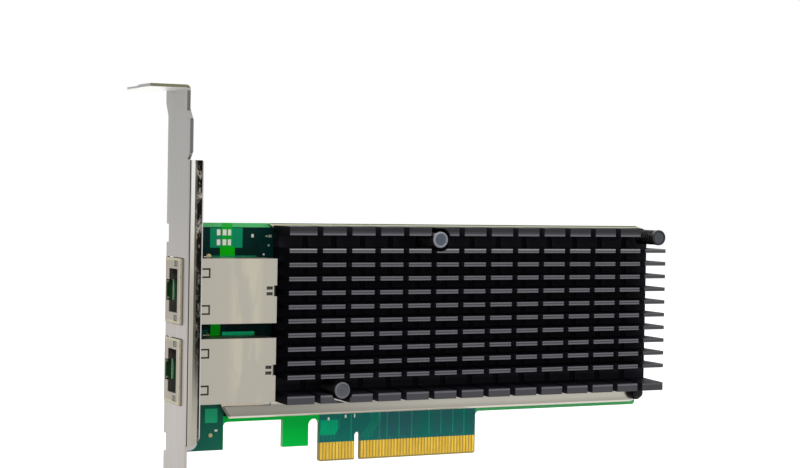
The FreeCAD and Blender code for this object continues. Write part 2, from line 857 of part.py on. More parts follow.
def pin_spring(x, z):
    """A compression spring between the base and a pin's head, coiled in flats."""
    start = base_front - spring_wire / 2
    end = head_face + pin_head_height + spring_wire / 2
    radius = (spring_outer - spring_wire) / 2
    rings = int(spring_turns * spring_steps) + 1
    points = []
    for ring in range(rings):
        turn = 2 * math.pi * ring / spring_steps
        middle = start + (end - start) * ring / (rings - 1)
        for side in range(spring_sides):
            angle = 2 * math.pi * side / spring_sides
            out = radius + spring_wire / 2 * math.cos(angle)
            rise = spring_wire / 2 * math.sin(angle)
            points.append(V(x + out * math.cos(turn), middle + rise, z + out * math.sin(turn)))
    return Part.makeSolid(skinned_tube(points, rings, spring_sides))


# ---- parts on the board --------------------------------------------------------------------
def chip(x, z, length, width, height):
    """A flat part on the component face."""
    return block(x - length / 2, x + length / 2, -height, 0, z - width / 2, z + width / 2)


def back_chip(x, z, length, width, height):
    """A flat part on the back of the board."""
    back = board_thickness
    return block(x - length / 2, x + length / 2, back, back + height, z - width / 2, z + width / 2)


def cut_corners(body, amount):
    """The body with its four upright corners cut off."""
    upright = [e for e in body.Edges if abs(e.tangentAt(e.FirstParameter).y) > 0.9]
    return body.makeChamfer(amount, upright)


def flash_memory():
    """A moulded body with a row of bent leads along each long side, as one group."""
    x = side_parts_x
    z = memory_z
    left = x - memory_length / 2
    half = memory_width / 2
    solids = [block(left, x + memory_length / 2, -memory_height, -lead_thickness, z - half, z + half)]
    pitch = memory_length / memory_leads
    for index in range(memory_leads):
        start = left + (index + 0.5) * pitch - lead_width / 2
        end = start + lead_width
        for near, far in ((z + half, z + half + lead_reach), (z - half - lead_reach, z - half)):
            solids.append(block(start, end, -lead_thickness, 0, near, far))
        for near, far in ((z + half, z + half + lead_thickness), (z - half - lead_thickness, z - half)):
            solids.append(block(start, end, -memory_height / 2, -lead_thickness, near, far))
    return group(solids)


def controller_lid():
    """The metal lid on the controller's substrate."""
    top = -(frame_thickness - pad_thickness)
    lid = block(chip_x - lid_side / 2, chip_x + lid_side / 2, top, -chip_height,
                chip_z - lid_side / 2, chip_z + lid_side / 2)
    return lid.makeChamfer(lid_edge, [e for e in lid.Edges if abs(e.CenterOfMass.y - top) < 1e-4])


def thermal_pad():
    """The soft pad between the controller's lid and the heatsink."""
    half = pad_side / 2
    front = base_back + pad_thickness
    return block(chip_x - half, chip_x + half, base_back, front, chip_z - half, chip_z + half)


def supply_columns():
    """The places of the supply's coils and converters along the board."""
    return [supply_left + supply_pitch * index for index in range(supply_count)]


def power_inductors():
    """Flat shielded coils for the core supply."""
    coils = [chip(x, coil_z, coil_side, coil_side, coil_height) for x in supply_columns()]
    return group([cut_corners(coil, part_edge) for coil in coils])


def voltage_regulators():
    """Square converters beside the coils."""
    side = converter_side
    return group([chip(x, converter_z, side, side, converter_height) for x in supply_columns()])


def crystal():
    """The metal can of the clock crystal."""
    can = chip(side_parts_x, crystal_z, crystal_length, crystal_width, crystal_height)
    return cut_corners(can, part_edge)


def board_capacitors():
    """Ceramic capacitors below the converters, in rows."""
    parts = []
    for column in range(bulk_columns):
        for row in range(bulk_rows):
            parts.append(chip(bulk_left + bulk_pitch * column, bulk_top - bulk_pitch * row,
                              bulk_length, bulk_width, bulk_height))
    return group(parts)


def lane_capacitors():
    """The coupling capacitors of the connector's pairs, on the board's back."""
    parts = []
    for index in range(lane_part_count):
        x = lane_part_start + lane_part_pitch * index
        parts.append(back_chip(x, lane_part_z, lane_part_length, lane_part_width, lane_part_height))
    return group(parts)


def back_capacitors():
    """Decoupling capacitors behind the controller."""
    parts = []
    for column in range(decoupling_columns):
        x = chip_x + decoupling_pitch * (column - (decoupling_columns - 1) / 2)
        for row in range(decoupling_rows):
            z = chip_z + decoupling_pitch * (row - (decoupling_rows - 1) / 2)
            parts.append(back_chip(x, z, small_length, small_width, small_height))
    return group(parts)


def back_resistors():
    """Small resistors behind the converters and beside the jacks."""
    parts = []
    for index in range(resistor_count):
        step = resistor_pitch * index
        parts.append(back_chip(bulk_left + step, resistor_row_z, small_width, small_length, resistor_height))
        z = resistor_column_z + step
        parts.append(back_chip(resistor_column_x, z, small_length, small_width, resistor_height))
    return group(parts)


def nodes():
    """Every piece of the card by its name."""
    pieces = {
        "circuit_board": circuit_board(),
        "edge_contacts_front": contact_strip(0, -1),
        "edge_contacts_back": contact_strip(board_thickness, 1),
        "io_bracket": io_bracket(),
        "bracket_screws": bracket_screws(),
        "heatsink": heatsink(),
        "heatsink_frame": heatsink_frame(),
        "push_rivet": push_rivet(*rivet_place),
        "thermal_pad": thermal_pad(),
        "controller_substrate": chip(chip_x, chip_z, chip_side, chip_side, chip_height),
        "controller_lid": controller_lid(),
        "flash_memory_chip": flash_memory(),
        "crystal_can": crystal(),
        "power_inductors": power_inductors(),
        "voltage_regulators": voltage_regulators(),
        "board_capacitors": board_capacitors(),
        "lane_capacitors": lane_capacitors(),
        "back_capacitors": back_capacitors(),
        "back_resistors": back_resistors(),
    }
    for name, place in pin_places.items():
        pieces["push_pin_" + name] = push_pin(*place)
        pieces["pin_spring_" + name] = pin_spring(*place)
    for name, centre in jack_centres.items():
        pieces["jack_shield_" + name] = jack_shield(centre)
        pieces["jack_housing_" + name] = jack_housing(centre)
        pieces["jack_contacts_" + name] = jack_contacts(centre)
        pieces["jack_light_pipes_" + name] = jack_light_pipes(centre)
        pieces["jack_transformers_" + name] = jack_module(centre)
        pieces["jack_solder_pins_" + name] = jack_solder_pins(centre)
    return pieces


def main():
    os.makedirs("parts", exist_ok=True)
    for name, shape in nodes().items():
        shape.exportStep("parts/" + name + ".step")


main()
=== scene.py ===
"""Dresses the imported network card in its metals, plastics and laminate, and lights it.

Lengths in the tables and in the finishes are millimetres in the card's own frame: X along the board
away from the bracket, Y from the component side to the back, and Z up from the contact tips. A name
that ends in _limits, _line or _room holds a low and a high place.
"""

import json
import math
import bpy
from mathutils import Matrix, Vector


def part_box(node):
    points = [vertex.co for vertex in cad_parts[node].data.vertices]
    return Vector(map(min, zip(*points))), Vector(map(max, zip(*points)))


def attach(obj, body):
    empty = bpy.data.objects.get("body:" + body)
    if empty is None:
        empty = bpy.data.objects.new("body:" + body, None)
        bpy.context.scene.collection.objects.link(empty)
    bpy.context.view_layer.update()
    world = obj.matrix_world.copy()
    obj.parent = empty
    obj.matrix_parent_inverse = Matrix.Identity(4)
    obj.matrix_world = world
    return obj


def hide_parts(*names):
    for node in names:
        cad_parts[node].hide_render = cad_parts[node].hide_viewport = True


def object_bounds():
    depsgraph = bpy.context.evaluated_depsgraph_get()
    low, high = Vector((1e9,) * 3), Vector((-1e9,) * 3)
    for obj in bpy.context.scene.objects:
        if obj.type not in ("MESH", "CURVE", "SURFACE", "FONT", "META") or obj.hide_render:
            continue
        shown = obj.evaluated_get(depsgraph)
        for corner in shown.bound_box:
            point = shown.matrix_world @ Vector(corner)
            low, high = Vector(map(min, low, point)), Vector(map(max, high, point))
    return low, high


bl_info = {
    "name": "Network card dresser",
    "version": (1, 0, 0),
    "blender": (4, 5, 0),
    "location": "View3D > Sidebar > Network card",
    "description": "Gives a packed network card its materials, fine pieces, light and camera",
    "category": "Object",
}

import bmesh
import bpy
import numpy as np
from mathutils import Matrix, Vector

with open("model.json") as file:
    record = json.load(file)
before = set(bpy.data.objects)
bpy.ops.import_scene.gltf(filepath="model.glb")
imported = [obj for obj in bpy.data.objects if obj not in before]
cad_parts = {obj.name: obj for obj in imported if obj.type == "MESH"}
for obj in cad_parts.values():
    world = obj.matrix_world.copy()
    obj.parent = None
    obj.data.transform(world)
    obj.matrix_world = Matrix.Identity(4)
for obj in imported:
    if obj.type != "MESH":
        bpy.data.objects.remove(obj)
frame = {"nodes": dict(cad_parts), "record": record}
CAD_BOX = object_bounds()
MM = 0.001
JACKS = ("upper", "lower")
PINS = ("upper_middle", "upper_right", "lower_left")
SHELL_EDGE = 0.08 * MM      # rounding of the jacks' shells and of the screws
PIN_EDGE = 0.12 * MM
FRAME_EDGE = 0.35 * MM
SPRING_TURNS = 9.5


# ---- what a user may change ------------------------------------------------------------------
def colour_property(name, description, default):
    """A linear colour that a user may change."""
    return bpy.props.FloatVectorProperty(
        name=name, description=description, subtype="COLOR", size=3, default=default, min=0, max=1)


def length_property(name, description, default):
    """A length that a user may change, in metres."""
    return bpy.props.FloatProperty(
        name=name, description=description, unit="LENGTH", default=default, min=0)


class CardColours(bpy.types.PropertyGroup):
    """Colours of the card's finishes, linear."""

    mask_dark: colour_property(
        "Mask over copper", "Solder mask where copper lies under it", (0.0, 0.012, 0.009))
    mask_light: colour_property(
        "Mask over glass", "Solder mask where no copper lies under it", (0.002, 0.4, 0.002))
    gold: colour_property("Gold", "Plating of the edge contacts", (0.71, 0.49, 0.07))
    black_anodising: colour_property("Black anodising", "Finish of the heatsink", (0.011, 0.011, 0.016))
    bracket: colour_property("Bracket plate", "Nickel plate on the bracket", (0.41, 0.4, 0.385))
    shell: colour_property("Jack shell", "Tin plate on the jacks' shells", (0.365, 0.345, 0.295))


class CardSizes(bpy.types.PropertyGroup):
    """Small sizes that the dressing adds."""

    sheet_edge: length_property("Sheet edge", "Rounding of sheared sheet edges", 0.12 * MM)
    fin_edge: length_property("Fin edge", "Rounding of the heatsink's sawn edges", 0.1 * MM)
    wire: length_property("Spring wire", "Thickness of the pins' spring wire", 0.5 * MM)


class StageLook(bpy.types.PropertyGroup):
    """Camera and light."""

    lens: bpy.props.FloatProperty(
        name="Lens", description="Focal length on a 36 mm wide sensor", default=80.557, min=10)
    yaw: bpy.props.FloatProperty(
        name="Yaw", description="Turn of the view from +Y towards +X",
        subtype="ANGLE", default=math.radians(26.331))
    pitch: bpy.props.FloatProperty(
        name="Pitch", description="How far the view looks down",
        subtype="ANGLE", default=math.radians(1.486))
    roll: bpy.props.FloatProperty(
        name="Roll", description="Turn of the view about its own axis",
        subtype="ANGLE", default=math.radians(1.048))
    place: bpy.props.FloatVectorProperty(
        name="Camera place", description="Where the camera stands",
        subtype="TRANSLATION", size=3, default=(-0.22127, -0.47275, 0.07971))
    sky: bpy.props.FloatProperty(
        name="Sky", description="Strength of the even light from all round", default=0.62, min=0)


# ---- materials -------------------------------------------------------------------------------
GRAIN_RANGE = (0.3, 0.7)      # most of a noise's values lie between these


class Finish:
    """A Principled material with short calls for the nodes that feed it."""

    def __init__(self, name, **constants):
        self.material = bpy.data.materials.new(name)
        self.material.use_nodes = True
        self.tree = self.material.node_tree
        self.surface = next(n for n in self.tree.nodes if n.type == "BSDF_PRINCIPLED")
        for socket, value in constants.items():
            self.surface.inputs[socket.replace("_", " ")].default_value = value
        self.place = self.tree.nodes.new("ShaderNodeTexCoord").outputs["Object"]
        split = self.tree.nodes.new("ShaderNodeSeparateXYZ")
        self.tree.links.new(self.place, split.inputs[0])
        self.x, self.y, self.z = split.outputs

    def feed(self, socket, value):
        """Puts a number, a colour or another node's output into a socket."""
        if isinstance(value, bpy.types.NodeSocket):
            self.tree.links.new(value, socket)
        elif socket.type == "RGBA" and len(value) == 3:
            socket.default_value = (*value, 1.0)
        else:
            socket.default_value = value

    def set(self, name, value):
        """Feeds one of the surface's own sockets."""
        self.feed(self.surface.inputs[name], value)

    def math(self, operation, a, b=0.0, c=0.0):
        node = self.tree.nodes.new("ShaderNodeMath")
        node.operation = operation
        for socket, value in zip(node.inputs, (a, b, c)):
            self.feed(socket, value)
        return node.outputs[0]

    def times(self, a, b):
        return self.math("MULTIPLY", a, b)

    def plus(self, a, b):
        return self.math("ADD", a, b)

    def minus(self, a, b):
        return self.math("SUBTRACT", a, b)

    def larger(self, a, b):
        return self.math("MAXIMUM", a, b)

    def away(self, value, middle):
        """How far a value lies from the middle, on either side."""
        return self.math("ABSOLUTE", self.minus(value, middle))

    def step(self, value, low, high, out_low=0.0, out_high=1.0):
        """A soft step: out_low below low, out_high above high."""
        node = self.tree.nodes.new("ShaderNodeMapRange")
        node.interpolation_type = "SMOOTHSTEP"
        for socket, number in zip(node.inputs, (value, low, high, out_low, out_high)):
            self.feed(socket, number)
        return node.outputs[0]

    def span(self, value, low, high, soft):
        """One between low and high, zero outside, soft at both ends."""
        rising = self.step(value, low - soft, low + soft)
        falling = self.step(value, high - soft, high + soft, 1.0, 0.0)
        return self.times(rising, falling)

    def ramp(self, value, low, high, out_low=0.0, out_high=1.0):
        """A soft step between two places in millimetres."""
        return self.step(value, low * MM, high * MM, out_low, out_high)

    def above(self, value, edge, soft=0.05):
        """One above an edge in millimetres and zero below it."""
        return self.ramp(value, edge - soft, edge + soft)

    def below(self, value, edge, soft=0.05):
        """One below an edge in millimetres and zero above it."""
        return self.ramp(value, edge - soft, edge + soft, 1.0, 0.0)

    def between(self, value, limits, soft=0.05):
        """One between two limits in millimetres and zero outside."""
        low, high = limits
        return self.span(value, low * MM, high * MM, soft * MM)

    def patch(self, x_limits, z_limits, soft=0.08):
        """One inside a rectangle of the board and zero outside, in millimetres."""
        return self.times(self.between(self.x, x_limits, soft), self.between(self.z, z_limits, soft))

    def noise(self, scale, detail=3.0, rough=0.5, stretch=(1, 1, 1)):
        """Noise with so many waves a metre, times each axis's stretch."""
        mapping = self.tree.nodes.new("ShaderNodeMapping")
        self.feed(mapping.inputs["Vector"], self.place)
        mapping.inputs["Scale"].default_value = stretch
        node = self.tree.nodes.new("ShaderNodeTexNoise")
        self.feed(node.inputs["Vector"], mapping.outputs[0])
        for name, value in (("Scale", scale), ("Detail", detail), ("Roughness", rough)):
            node.inputs[name].default_value = value
        return node.outputs["Fac"]

    def mix(self, factor, a, b):
        node = self.tree.nodes.new("ShaderNodeMix")
        node.data_type = "RGBA"
        self.feed(node.inputs["Factor"], factor)
        self.feed(node.inputs["A"], a)
        self.feed(node.inputs["B"], b)
        return node.outputs["Result"]

    def layers(self, colour, *laid):
        """A colour with others laid over it in turn, each as far as its own factor says."""
        for factor, hue in laid:
            colour = self.mix(factor, colour, hue)
        return colour

    def bump(self, height, strength, distance=0.02 * MM):
        node = self.tree.nodes.new("ShaderNodeBump")
        node.inputs["Strength"].default_value = strength
        node.inputs["Distance"].default_value = distance
        self.feed(node.inputs["Height"], height)
        self.set("Normal", node.outputs[0])

    def made(self, colour, grain, smooth, rough, relief, height=None):
        """The material in a colour, rough as the grain says, with relief from the grain or a height."""
        self.set("Base Color", colour)
        self.set("Roughness", self.step(grain, *GRAIN_RANGE, smooth, rough))
        if relief:
            self.bump(grain if height is None else height, relief)
        return self.material


def shade(colour, factor):
    """A colour made darker or lighter by a factor, one at most."""
    return tuple(min(1.0, part * factor) for part in colour)


def plain_finish(name, colour, roughness, grain=900.0, spread=0.12, relief=0.05, **constants):
    """A finish with fine grain in its colour, gloss and relief."""
    finish = Finish(name, **constants)
    grainy = finish.noise(grain, 4.0, 0.6)
    mottled = finish.mix(grainy, shade(colour, 1 - spread), shade(colour, 1 + spread))
    return finish.made(mottled, grainy, roughness * 0.88, roughness * 1.12, relief)


TONGUE = ((-12.3, 39.6), (-1.0, 14.5))      # limits in X and in Z of the tongue with the contacts
LEFT_CORNER = ((-11.9, -6.3), (7.6, 11.9))      # and of the lighter mask in its left corner
# Where the copper under the mask is left out or thinner, and the mask looks lighter, and where a lighter
# hue is painted light on mask that lies in shade (lit leaf and lit sea between the jacks, leg sea low on
# the left, moss under the jacks' mouths): limits in X, limits in Z, how much of the hue shows, and the hue.
MASK_PATCHES = (
    ((-57.0, -41.8), (4.8, 18.0), 1.0, "leg"),
    ((-60.0, -28.6), (67.7, 70.0), 1.0, "mint"),
    ((-46.6, -36.9), (61.9, 67.5), 1.0, "sea"),
    ((-43.6, -39.2), (57.0, 62.2), 1.0, "leaf"),
    ((-43.2, -40.0), (62.2, 70.0), 0.75, "leaf"),
    ((-45.9, -32.6), (57.0, 59.7), 0.7, "sea"),
    # painted light: lighter mask where the jacks' shade falls between them and under their mouths
    ((-46.1, -43.2), (34.0, 42.0), 1.0, "lit leaf"),
    ((-57.0, -48.5), (47.0, 53.6), 1.0, "lit moss"),
    ((-57.0, -48.5), (24.9, 31.5), 1.0, "lit moss"),
    # painted light: lighter mask in shade between the jacks and low on the left
    ((-42.6, -32.9), (34.0, 38.2), 1.0, "lit sea"),
    ((-47.3, -43.6), (12.6, 16.6), 1.0, "lit leg sea"),
    ((-41.9, -12.25), (4.0, 14.3), 1.0, "hook"),
    ((39.15, 98.0), (12.0, 14.5), 1.0, "mint"),
)
# lit leaf, lit sea, leg sea and moss are painted light: lighter hues on mask that lies in shade
BOARD_HUES = {
    "lit leaf": (0.0, 0.7, 0.012), "sea": (0.003, 0.24, 0.11), "lit sea": (0.012, 0.95, 0.4),
    "lit leg sea": (0.022, 0.47, 0.22), "mint": (0.09, 0.47, 0.16), "hook": (0.0, 0.56, 0.064),
    "leg": (0.012, 0.135, 0.09), "lit moss": (0.012, 0.075, 0.03), "cloud": (0.0, 0.03, 0.03),
    "copper": (0.01, 0.18, 0.145), "thin copper": (0.026, 0.145, 0.15), "corner": (0.0, 0.5, 0.22),
    "finger": (0.42, 0.31, 0.09), "laminate": (0.24, 0.55, 0.27), "tongue's laminate": (0.05, 0.2, 0.1),
    "finger's laminate": (0.4, 0.3, 0.08), "shaded laminate": (0.03, 0.12, 0.03),
}
FRONT_HUES = ("lit leaf", "lit moss")      # these show on the front face only


def board_finish(colours):
    """Green solder mask over copper, lighter where copper is left out and painted lighter as painted light
    where it lies in shade; bare laminate on the edges.

    The lighter corner of the tongue ends along the slant where x - z / 2 is slant_end.
    """
    slant_end, finger_top, left_edge, edge_limits = -10.9, 5.425, -56.64, (0.04, 1.53)
    hues = {**BOARD_HUES, "leaf": tuple(colours.mask_light)}
    finish = Finish("solder_mask", IOR=1.5, Specular_IOR_Level=0.05)
    x, y, z = finish.x, finish.y, finish.z
    cloud = finish.step(finish.noise(70.0, 3.0, 0.5), 0.35, 0.7)
    upright = finish.step(finish.noise(110.0, 2.0, 0.5, (1.0, 1.0, 0.2)), 0.42, 0.6)
    tongue = finish.patch(*TONGUE)
    slant = finish.plus(x, finish.times(z, -0.5))
    before = finish.minus(1.0, finish.above(slant, slant_end, 0.3))
    colour = finish.layers(
        finish.mix(cloud, tuple(colours.mask_dark), hues["cloud"]),
        (tongue, finish.mix(upright, hues["copper"], hues["thin copper"])),
        (finish.times(finish.patch(*LEFT_CORNER, 0.3), before), hues["corner"]),
    )
    front = finish.below(y, 0.4, 0.1)
    for x_limits, z_limits, amount, hue in MASK_PATCHES:
        shown = finish.times(front, amount) if hue in FRONT_HUES else amount
        inside = finish.times(finish.patch(x_limits, z_limits), shown)
        colour = finish.mix(inside, colour, hues[hue])
    fingers = finish.times(tongue, finish.below(z, finger_top, 0.075))
    by_jack = finish.times(finish.below(x, left_edge, 0.04), 0.75)
    laminate = finish.layers(
        finish.mix(tongue, hues["laminate"], hues["tongue's laminate"]),
        (fingers, hues["finger's laminate"]),
        (by_jack, hues["shaded laminate"]),
    )
    colour = finish.layers(
        colour,
        (fingers, hues["finger"]),
        (finish.between(y, edge_limits, 0.02), laminate),
    )
    return finish.made(colour, finish.noise(1400.0, 3.0, 0.6), 0.4, 0.52, 0.06)


def contact_finish(colours):
    """Gold plate with faint scuffs along the way that contacts wipe."""
    finish = Finish("gold_plate", Metallic=1.0)
    wipe = finish.noise(500.0, 3.0, 0.6, (3.0, 3.0, 0.25))
    gold = tuple(colours.gold)
    deep = tuple(part * factor for part, factor in zip(gold, (0.8, 0.7, 0.5)))
    finish.bump(wipe, 0.08, 0.01 * MM)
    return finish.made(finish.mix(finish.step(wipe, 0.35, 0.7), deep, gold), wipe, 0.3, 0.42, 0.0)


# Hues of the bracket. On the flange, the near black between the spangles, the near side, the foot, the strip
# and its top, the crease and the far edge are painted reflection, highlight and shade, and so is the near
# white under the tab.
BRACKET_HUES = {
    "low": (0.455, 0.41, 0.38), "foot": (0.395, 0.37, 0.345), "sheared": (0.07, 0.065, 0.06),
    "between spangles": (0.006, 0.006, 0.005), "spangles": (0.36, 0.33, 0.28),
    "flange's near side": (0.125, 0.12, 0.09), "flange's foot": (0.37, 0.35, 0.295),
    "strip": (0.36, 0.335, 0.29), "strip's top": (0.7, 0.69, 0.66), "crease": (0.045, 0.04, 0.04),
    "far edge": (0.42, 0.4, 0.4), "tab": (0.15, 0.14, 0.09), "under the tab": (0.85, 0.84, 0.82),
}


def bracket_finish(colours):
    """Satin nickel plate, painted lighter and warmer low down and darker near the top as painted reflection;
    the folded flange is spangled and painted darker as painted reflection, and sheared edges are dull.

    The flange lies before flange_y and below flange_top. Along X it has a crease painted dark as painted
    shade, a bright strip that is a painted highlight on the bend, the spangled part, painted near black
    between the spangles as painted reflection, browner up to near_end and plainer and lighter low down
    up to foot_end, and the far edge, painted lighter as a painted highlight.
    """
    flange_y, flange_top, crease_limits = -14.65, 86.3, (-58.08, -57.85)
    strip_start, strip_end, near_end, foot_end, far_edge = -57.7, -56.775, -56.1, -55.2, -54.67
    shoulder_y, shoulder_z = -14.9, 86.25
    neck_y, neck_limits = -12.25, (99.5, 105.0)
    tab_y, tab_z, bend_limits, outer_side = -12.525, 105.55, (105.2, 105.66), -58.55
    hues = BRACKET_HUES
    plate = tuple(colours.bracket)
    finish = Finish("bracket_plate", Metallic=1.0)
    x, y, z = finish.x, finish.y, finish.z
    brushed = finish.noise(260.0, 4.0, 0.6, (1.0, 4.0, 0.12))
    fine = finish.noise(2200.0, 2.0, 0.5)
    shoulder = finish.times(finish.below(y, shoulder_y), finish.above(z, shoulder_z, 0.25))
    neck = finish.times(finish.below(y, neck_y), finish.between(z, neck_limits, 0.2))
    sheared = finish.math("MINIMUM", finish.plus(shoulder, neck), 1.0)
    # Painted reflection: the plate is lighter and warmer low down, a little darker again at the foot, and
    # darker near the top.
    colour = finish.layers(
        finish.mix(finish.ramp(z, 0.0, 95.0), hues["low"], shade(plate, 0.83)),
        (finish.ramp(z, -10.0, 38.0, 1.0, 0.0), hues["foot"]),
        (finish.times(brushed, 0.3), shade(plate, 0.88)),
        (finish.times(sheared, 0.8), hues["sheared"]),
    )
    folded = finish.times(finish.below(y, flange_y), finish.below(z, flange_top, 0.1))
    # Painted reflection: the flange's ground is near black, the spangles show more higher up, browner
    # towards the near side and lighter low down.
    spangle = finish.noise(640.0, 4.0, 0.8, (1.0, 1.0, 0.5))
    grained = finish.times(finish.step(spangle, 0.5, 0.66), finish.ramp(z, 50.0, 76.0, 0.3, 1.0))
    low = finish.times(finish.ramp(z, 12.0, 38.0, 1.0, 0.0), finish.below(x, foot_end, 0.2))
    # Painted highlight: the bright strip on the bend, whiter towards the top.
    strip = finish.mix(finish.ramp(z, 45.0, 85.0), hues["strip"], hues["strip's top"])
    band = finish.layers(
        finish.mix(grained, hues["between spangles"], hues["spangles"]),
        (finish.ramp(x, near_end - 0.2, near_end + 0.2, 0.6, 0.0), hues["flange's near side"]),
        (finish.times(low, 0.9), hues["flange's foot"]),
        (finish.below(x, strip_end, 0.075), strip),
        (finish.below(x, strip_start, 0.1), colour),
        # Painted shade in the crease, and a painted highlight on the far edge.
        (finish.between(x, crease_limits), hues["crease"]),
        (finish.above(x, far_edge), hues["far edge"]),
    )
    tab = finish.times(finish.above(z, tab_z), finish.below(y, tab_y, 0.025))
    # Painted reflection: the underside of the bend under the tab is near white.
    bend = finish.times(finish.between(z, bend_limits, 0.01), finish.below(x, outer_side))
    colour = finish.layers(colour, (tab, hues["tab"]), (bend, hues["under the tab"]), (folded, band))
    finish.set("Base Color", colour)
    gloss = finish.step(brushed, *GRAIN_RANGE, 0.38, 0.46)
    finish.set("Roughness", finish.minus(gloss, finish.times(folded, 0.1)))
    finish.bump(finish.plus(fine, finish.times(spangle, folded)), 0.07)
    return finish.material


SHELL_HUES = {
    "stain": (0.47, 0.43, 0.33), "nose": (0.3, 0.27, 0.22), "nose's rim": (0.4, 0.365, 0.25),
    "fold": (0.2, 0.13, 0.07), "shaded dent": (0.03, 0.022, 0.016),
}


def shell_finish(colours):
    """Tin plate, slightly warm, with faint rolling marks, a stained band, and a dark line with near-black
    dents along the nose's fold, both painted shade.
    """
    nose_x, rim_y = -58.65, -9.2
    stain_limits, fold_limits, rim_limits = (-44.0, -35.5), (-10.8, -10.15), (8.2, 9.2)
    dents_limits = ((3.65, 4.35), (6.85, 7.55))
    hues = SHELL_HUES
    tin = tuple(colours.shell)
    finish = Finish("jack_shell", Metallic=1.0)
    rolled = finish.noise(140.0, 4.0, 0.6, (0.25, 1.0, 1.0))
    bands = finish.noise(330.0, 2.0, 0.5, (1.0, 0.2, 0.18))
    stained = finish.times(finish.between(finish.x, stain_limits, 1.5), finish.step(bands, 0.42, 0.62))
    rim = finish.below(finish.y, rim_y, 0.1)
    dents = 0.0
    for side in JACKS:
        away = finish.away(finish.z, jack_middle(side))
        rim = finish.larger(rim, finish.between(away, rim_limits, 0.1))
        for limits in dents_limits:
            dents = finish.plus(dents, finish.between(away, limits, 0.1))
    # Painted shade: a dark brown line along the fold, near black in the dents.
    folded = finish.mix(dents, hues["fold"], hues["shaded dent"])
    face = finish.layers(
        finish.mix(rim, hues["nose"], hues["nose's rim"]),
        (finish.between(finish.y, fold_limits), folded),
    )
    colour = finish.layers(
        finish.mix(rolled, shade(tin, 0.94), tin),
        (finish.times(stained, 0.5), hues["stain"]),
        (finish.below(finish.x, nose_x), face),
    )
    return finish.made(colour, rolled, 0.34, 0.42, 0.05, finish.noise(900.0, 3.0, 0.6))


# Hues of the heatsink: the tip's grey is painted sheen; tip's edge and bare are painted highlights; open
# floor is painted light; saw cut is painted shade.
SINK_HUES = {
    "tip": (0.045, 0.043, 0.05), "tip's highlight": (0.135, 0.129, 0.147), "top": (0.012, 0.012, 0.013),
    "bare": (0.3, 0.29, 0.29), "right end": (0.02, 0.021, 0.02), "streak": (0.08, 0.077, 0.085),
    "lit open floor": (0.022, 0.02, 0.027), "shaded saw cut": (0.001, 0.001, 0.0012),
}


def anodised_finish(colours):
    """Satin black anodising, painted grey on the sawn tips as painted sheen, where each tip is lighter along
    both edges as painted highlights; the wide channels' floors carry painted light and the saw cuts painted
    shade.

    A height's share of the fins' pitch and a length's share of the blocks' pitch say where on a fin
    and where on a block a point lies. fins_before pitches are added to one and block_start to the
    other, so that neither is negative.
    """
    first_fin, fin_pitch, fins_before = 26.2, 3.933, 20.0
    block_start, block_pitch, cut_share = 200.1, 9.0, 0.205
    tip_y, floor_y, upper_rows, lower_row = -14.05, -3.75, 65.1, 22.1
    upper_highlight_line, lower_highlight_line, glint_limits = (65.9, 66.5), (20.4, 20.8), (61.8, 62.3)
    upper_room, lower_room = (62.2, 65.7), (23.4, 25.6)
    hues = SINK_HUES
    black = tuple(colours.black_anodising)
    finish = Finish("black_anodising", IOR=1.45)
    x, y, z = finish.x, finish.y, finish.z
    streak = finish.noise(160.0, 4.0, 0.65, (0.12, 1.0, 3.0))
    grain = finish.noise(1500.0, 3.0, 0.6)
    fins = finish.math("DIVIDE", finish.minus(z, first_fin * MM), fin_pitch * MM)
    share = finish.math("FRACT", finish.plus(fins, fins_before))
    # Painted highlights: light lines along both edges of each thin fin's tip, and a light line across the
    # wide top and bottom rows' tips.
    lines = finish.step(finish.minus(0.5, finish.away(share, 0.5)), 0.045, 0.06)
    wide = finish.plus(finish.above(z, upper_rows, 0.1), finish.below(z, lower_row, 0.1))
    rims = finish.larger(finish.between(z, upper_highlight_line, 0.08), finish.between(z, lower_highlight_line, 0.08))
    light = finish.larger(finish.times(lines, finish.minus(1.0, wide)), rims)
    tip = finish.layers(
        finish.mix(light, hues["tip"], hues["tip's highlight"]),
        (finish.ramp(z, 66.8, 67.3, 0.0, 0.8), hues["top"]),
        # Painted highlight: a glint along the topmost thin row's tips, in the hue named bare.
        (finish.between(z, glint_limits), hues["bare"]),
        (finish.ramp(x, 89.4, 89.6, 0.0, 0.45), hues["right end"]),
        (finish.times(streak, 0.3), hues["streak"]),
    )
    # Painted light: the floors of the two wide channels are painted lighter than the rest of the black.
    room = finish.plus(finish.between(z, upper_room, 0.3), finish.between(z, lower_room, 0.3))
    # Painted shade: the deep saw cuts between the blocks are painted near black.
    blocks = finish.math("DIVIDE", finish.plus(x, block_start * MM), block_pitch * MM)
    sawn = finish.span(finish.math("FRACT", blocks), 0.0, cut_share, 0.003)
    tips = finish.below(y, tip_y, 0.03)
    colour = finish.layers(
        finish.mix(grain, shade(black, 0.8), shade(black, 1.25)),
        (finish.times(finish.above(y, floor_y), room), hues["lit open floor"]),
        (finish.times(sawn, 0.85), hues["shaded saw cut"]),
        (tips, tip),
    )
    duller = finish.times(finish.times(finish.above(z, upper_rows, 0.1), tips), 0.14)
    finish.set("Specular IOR Level", finish.minus(finish.step(tips, 0.0, 1.0, 0.04, 0.25), duller))
    return finish.made(colour, grain, 0.42, 0.55, 0.08, finish.plus(grain, finish.times(streak, 1.5)))


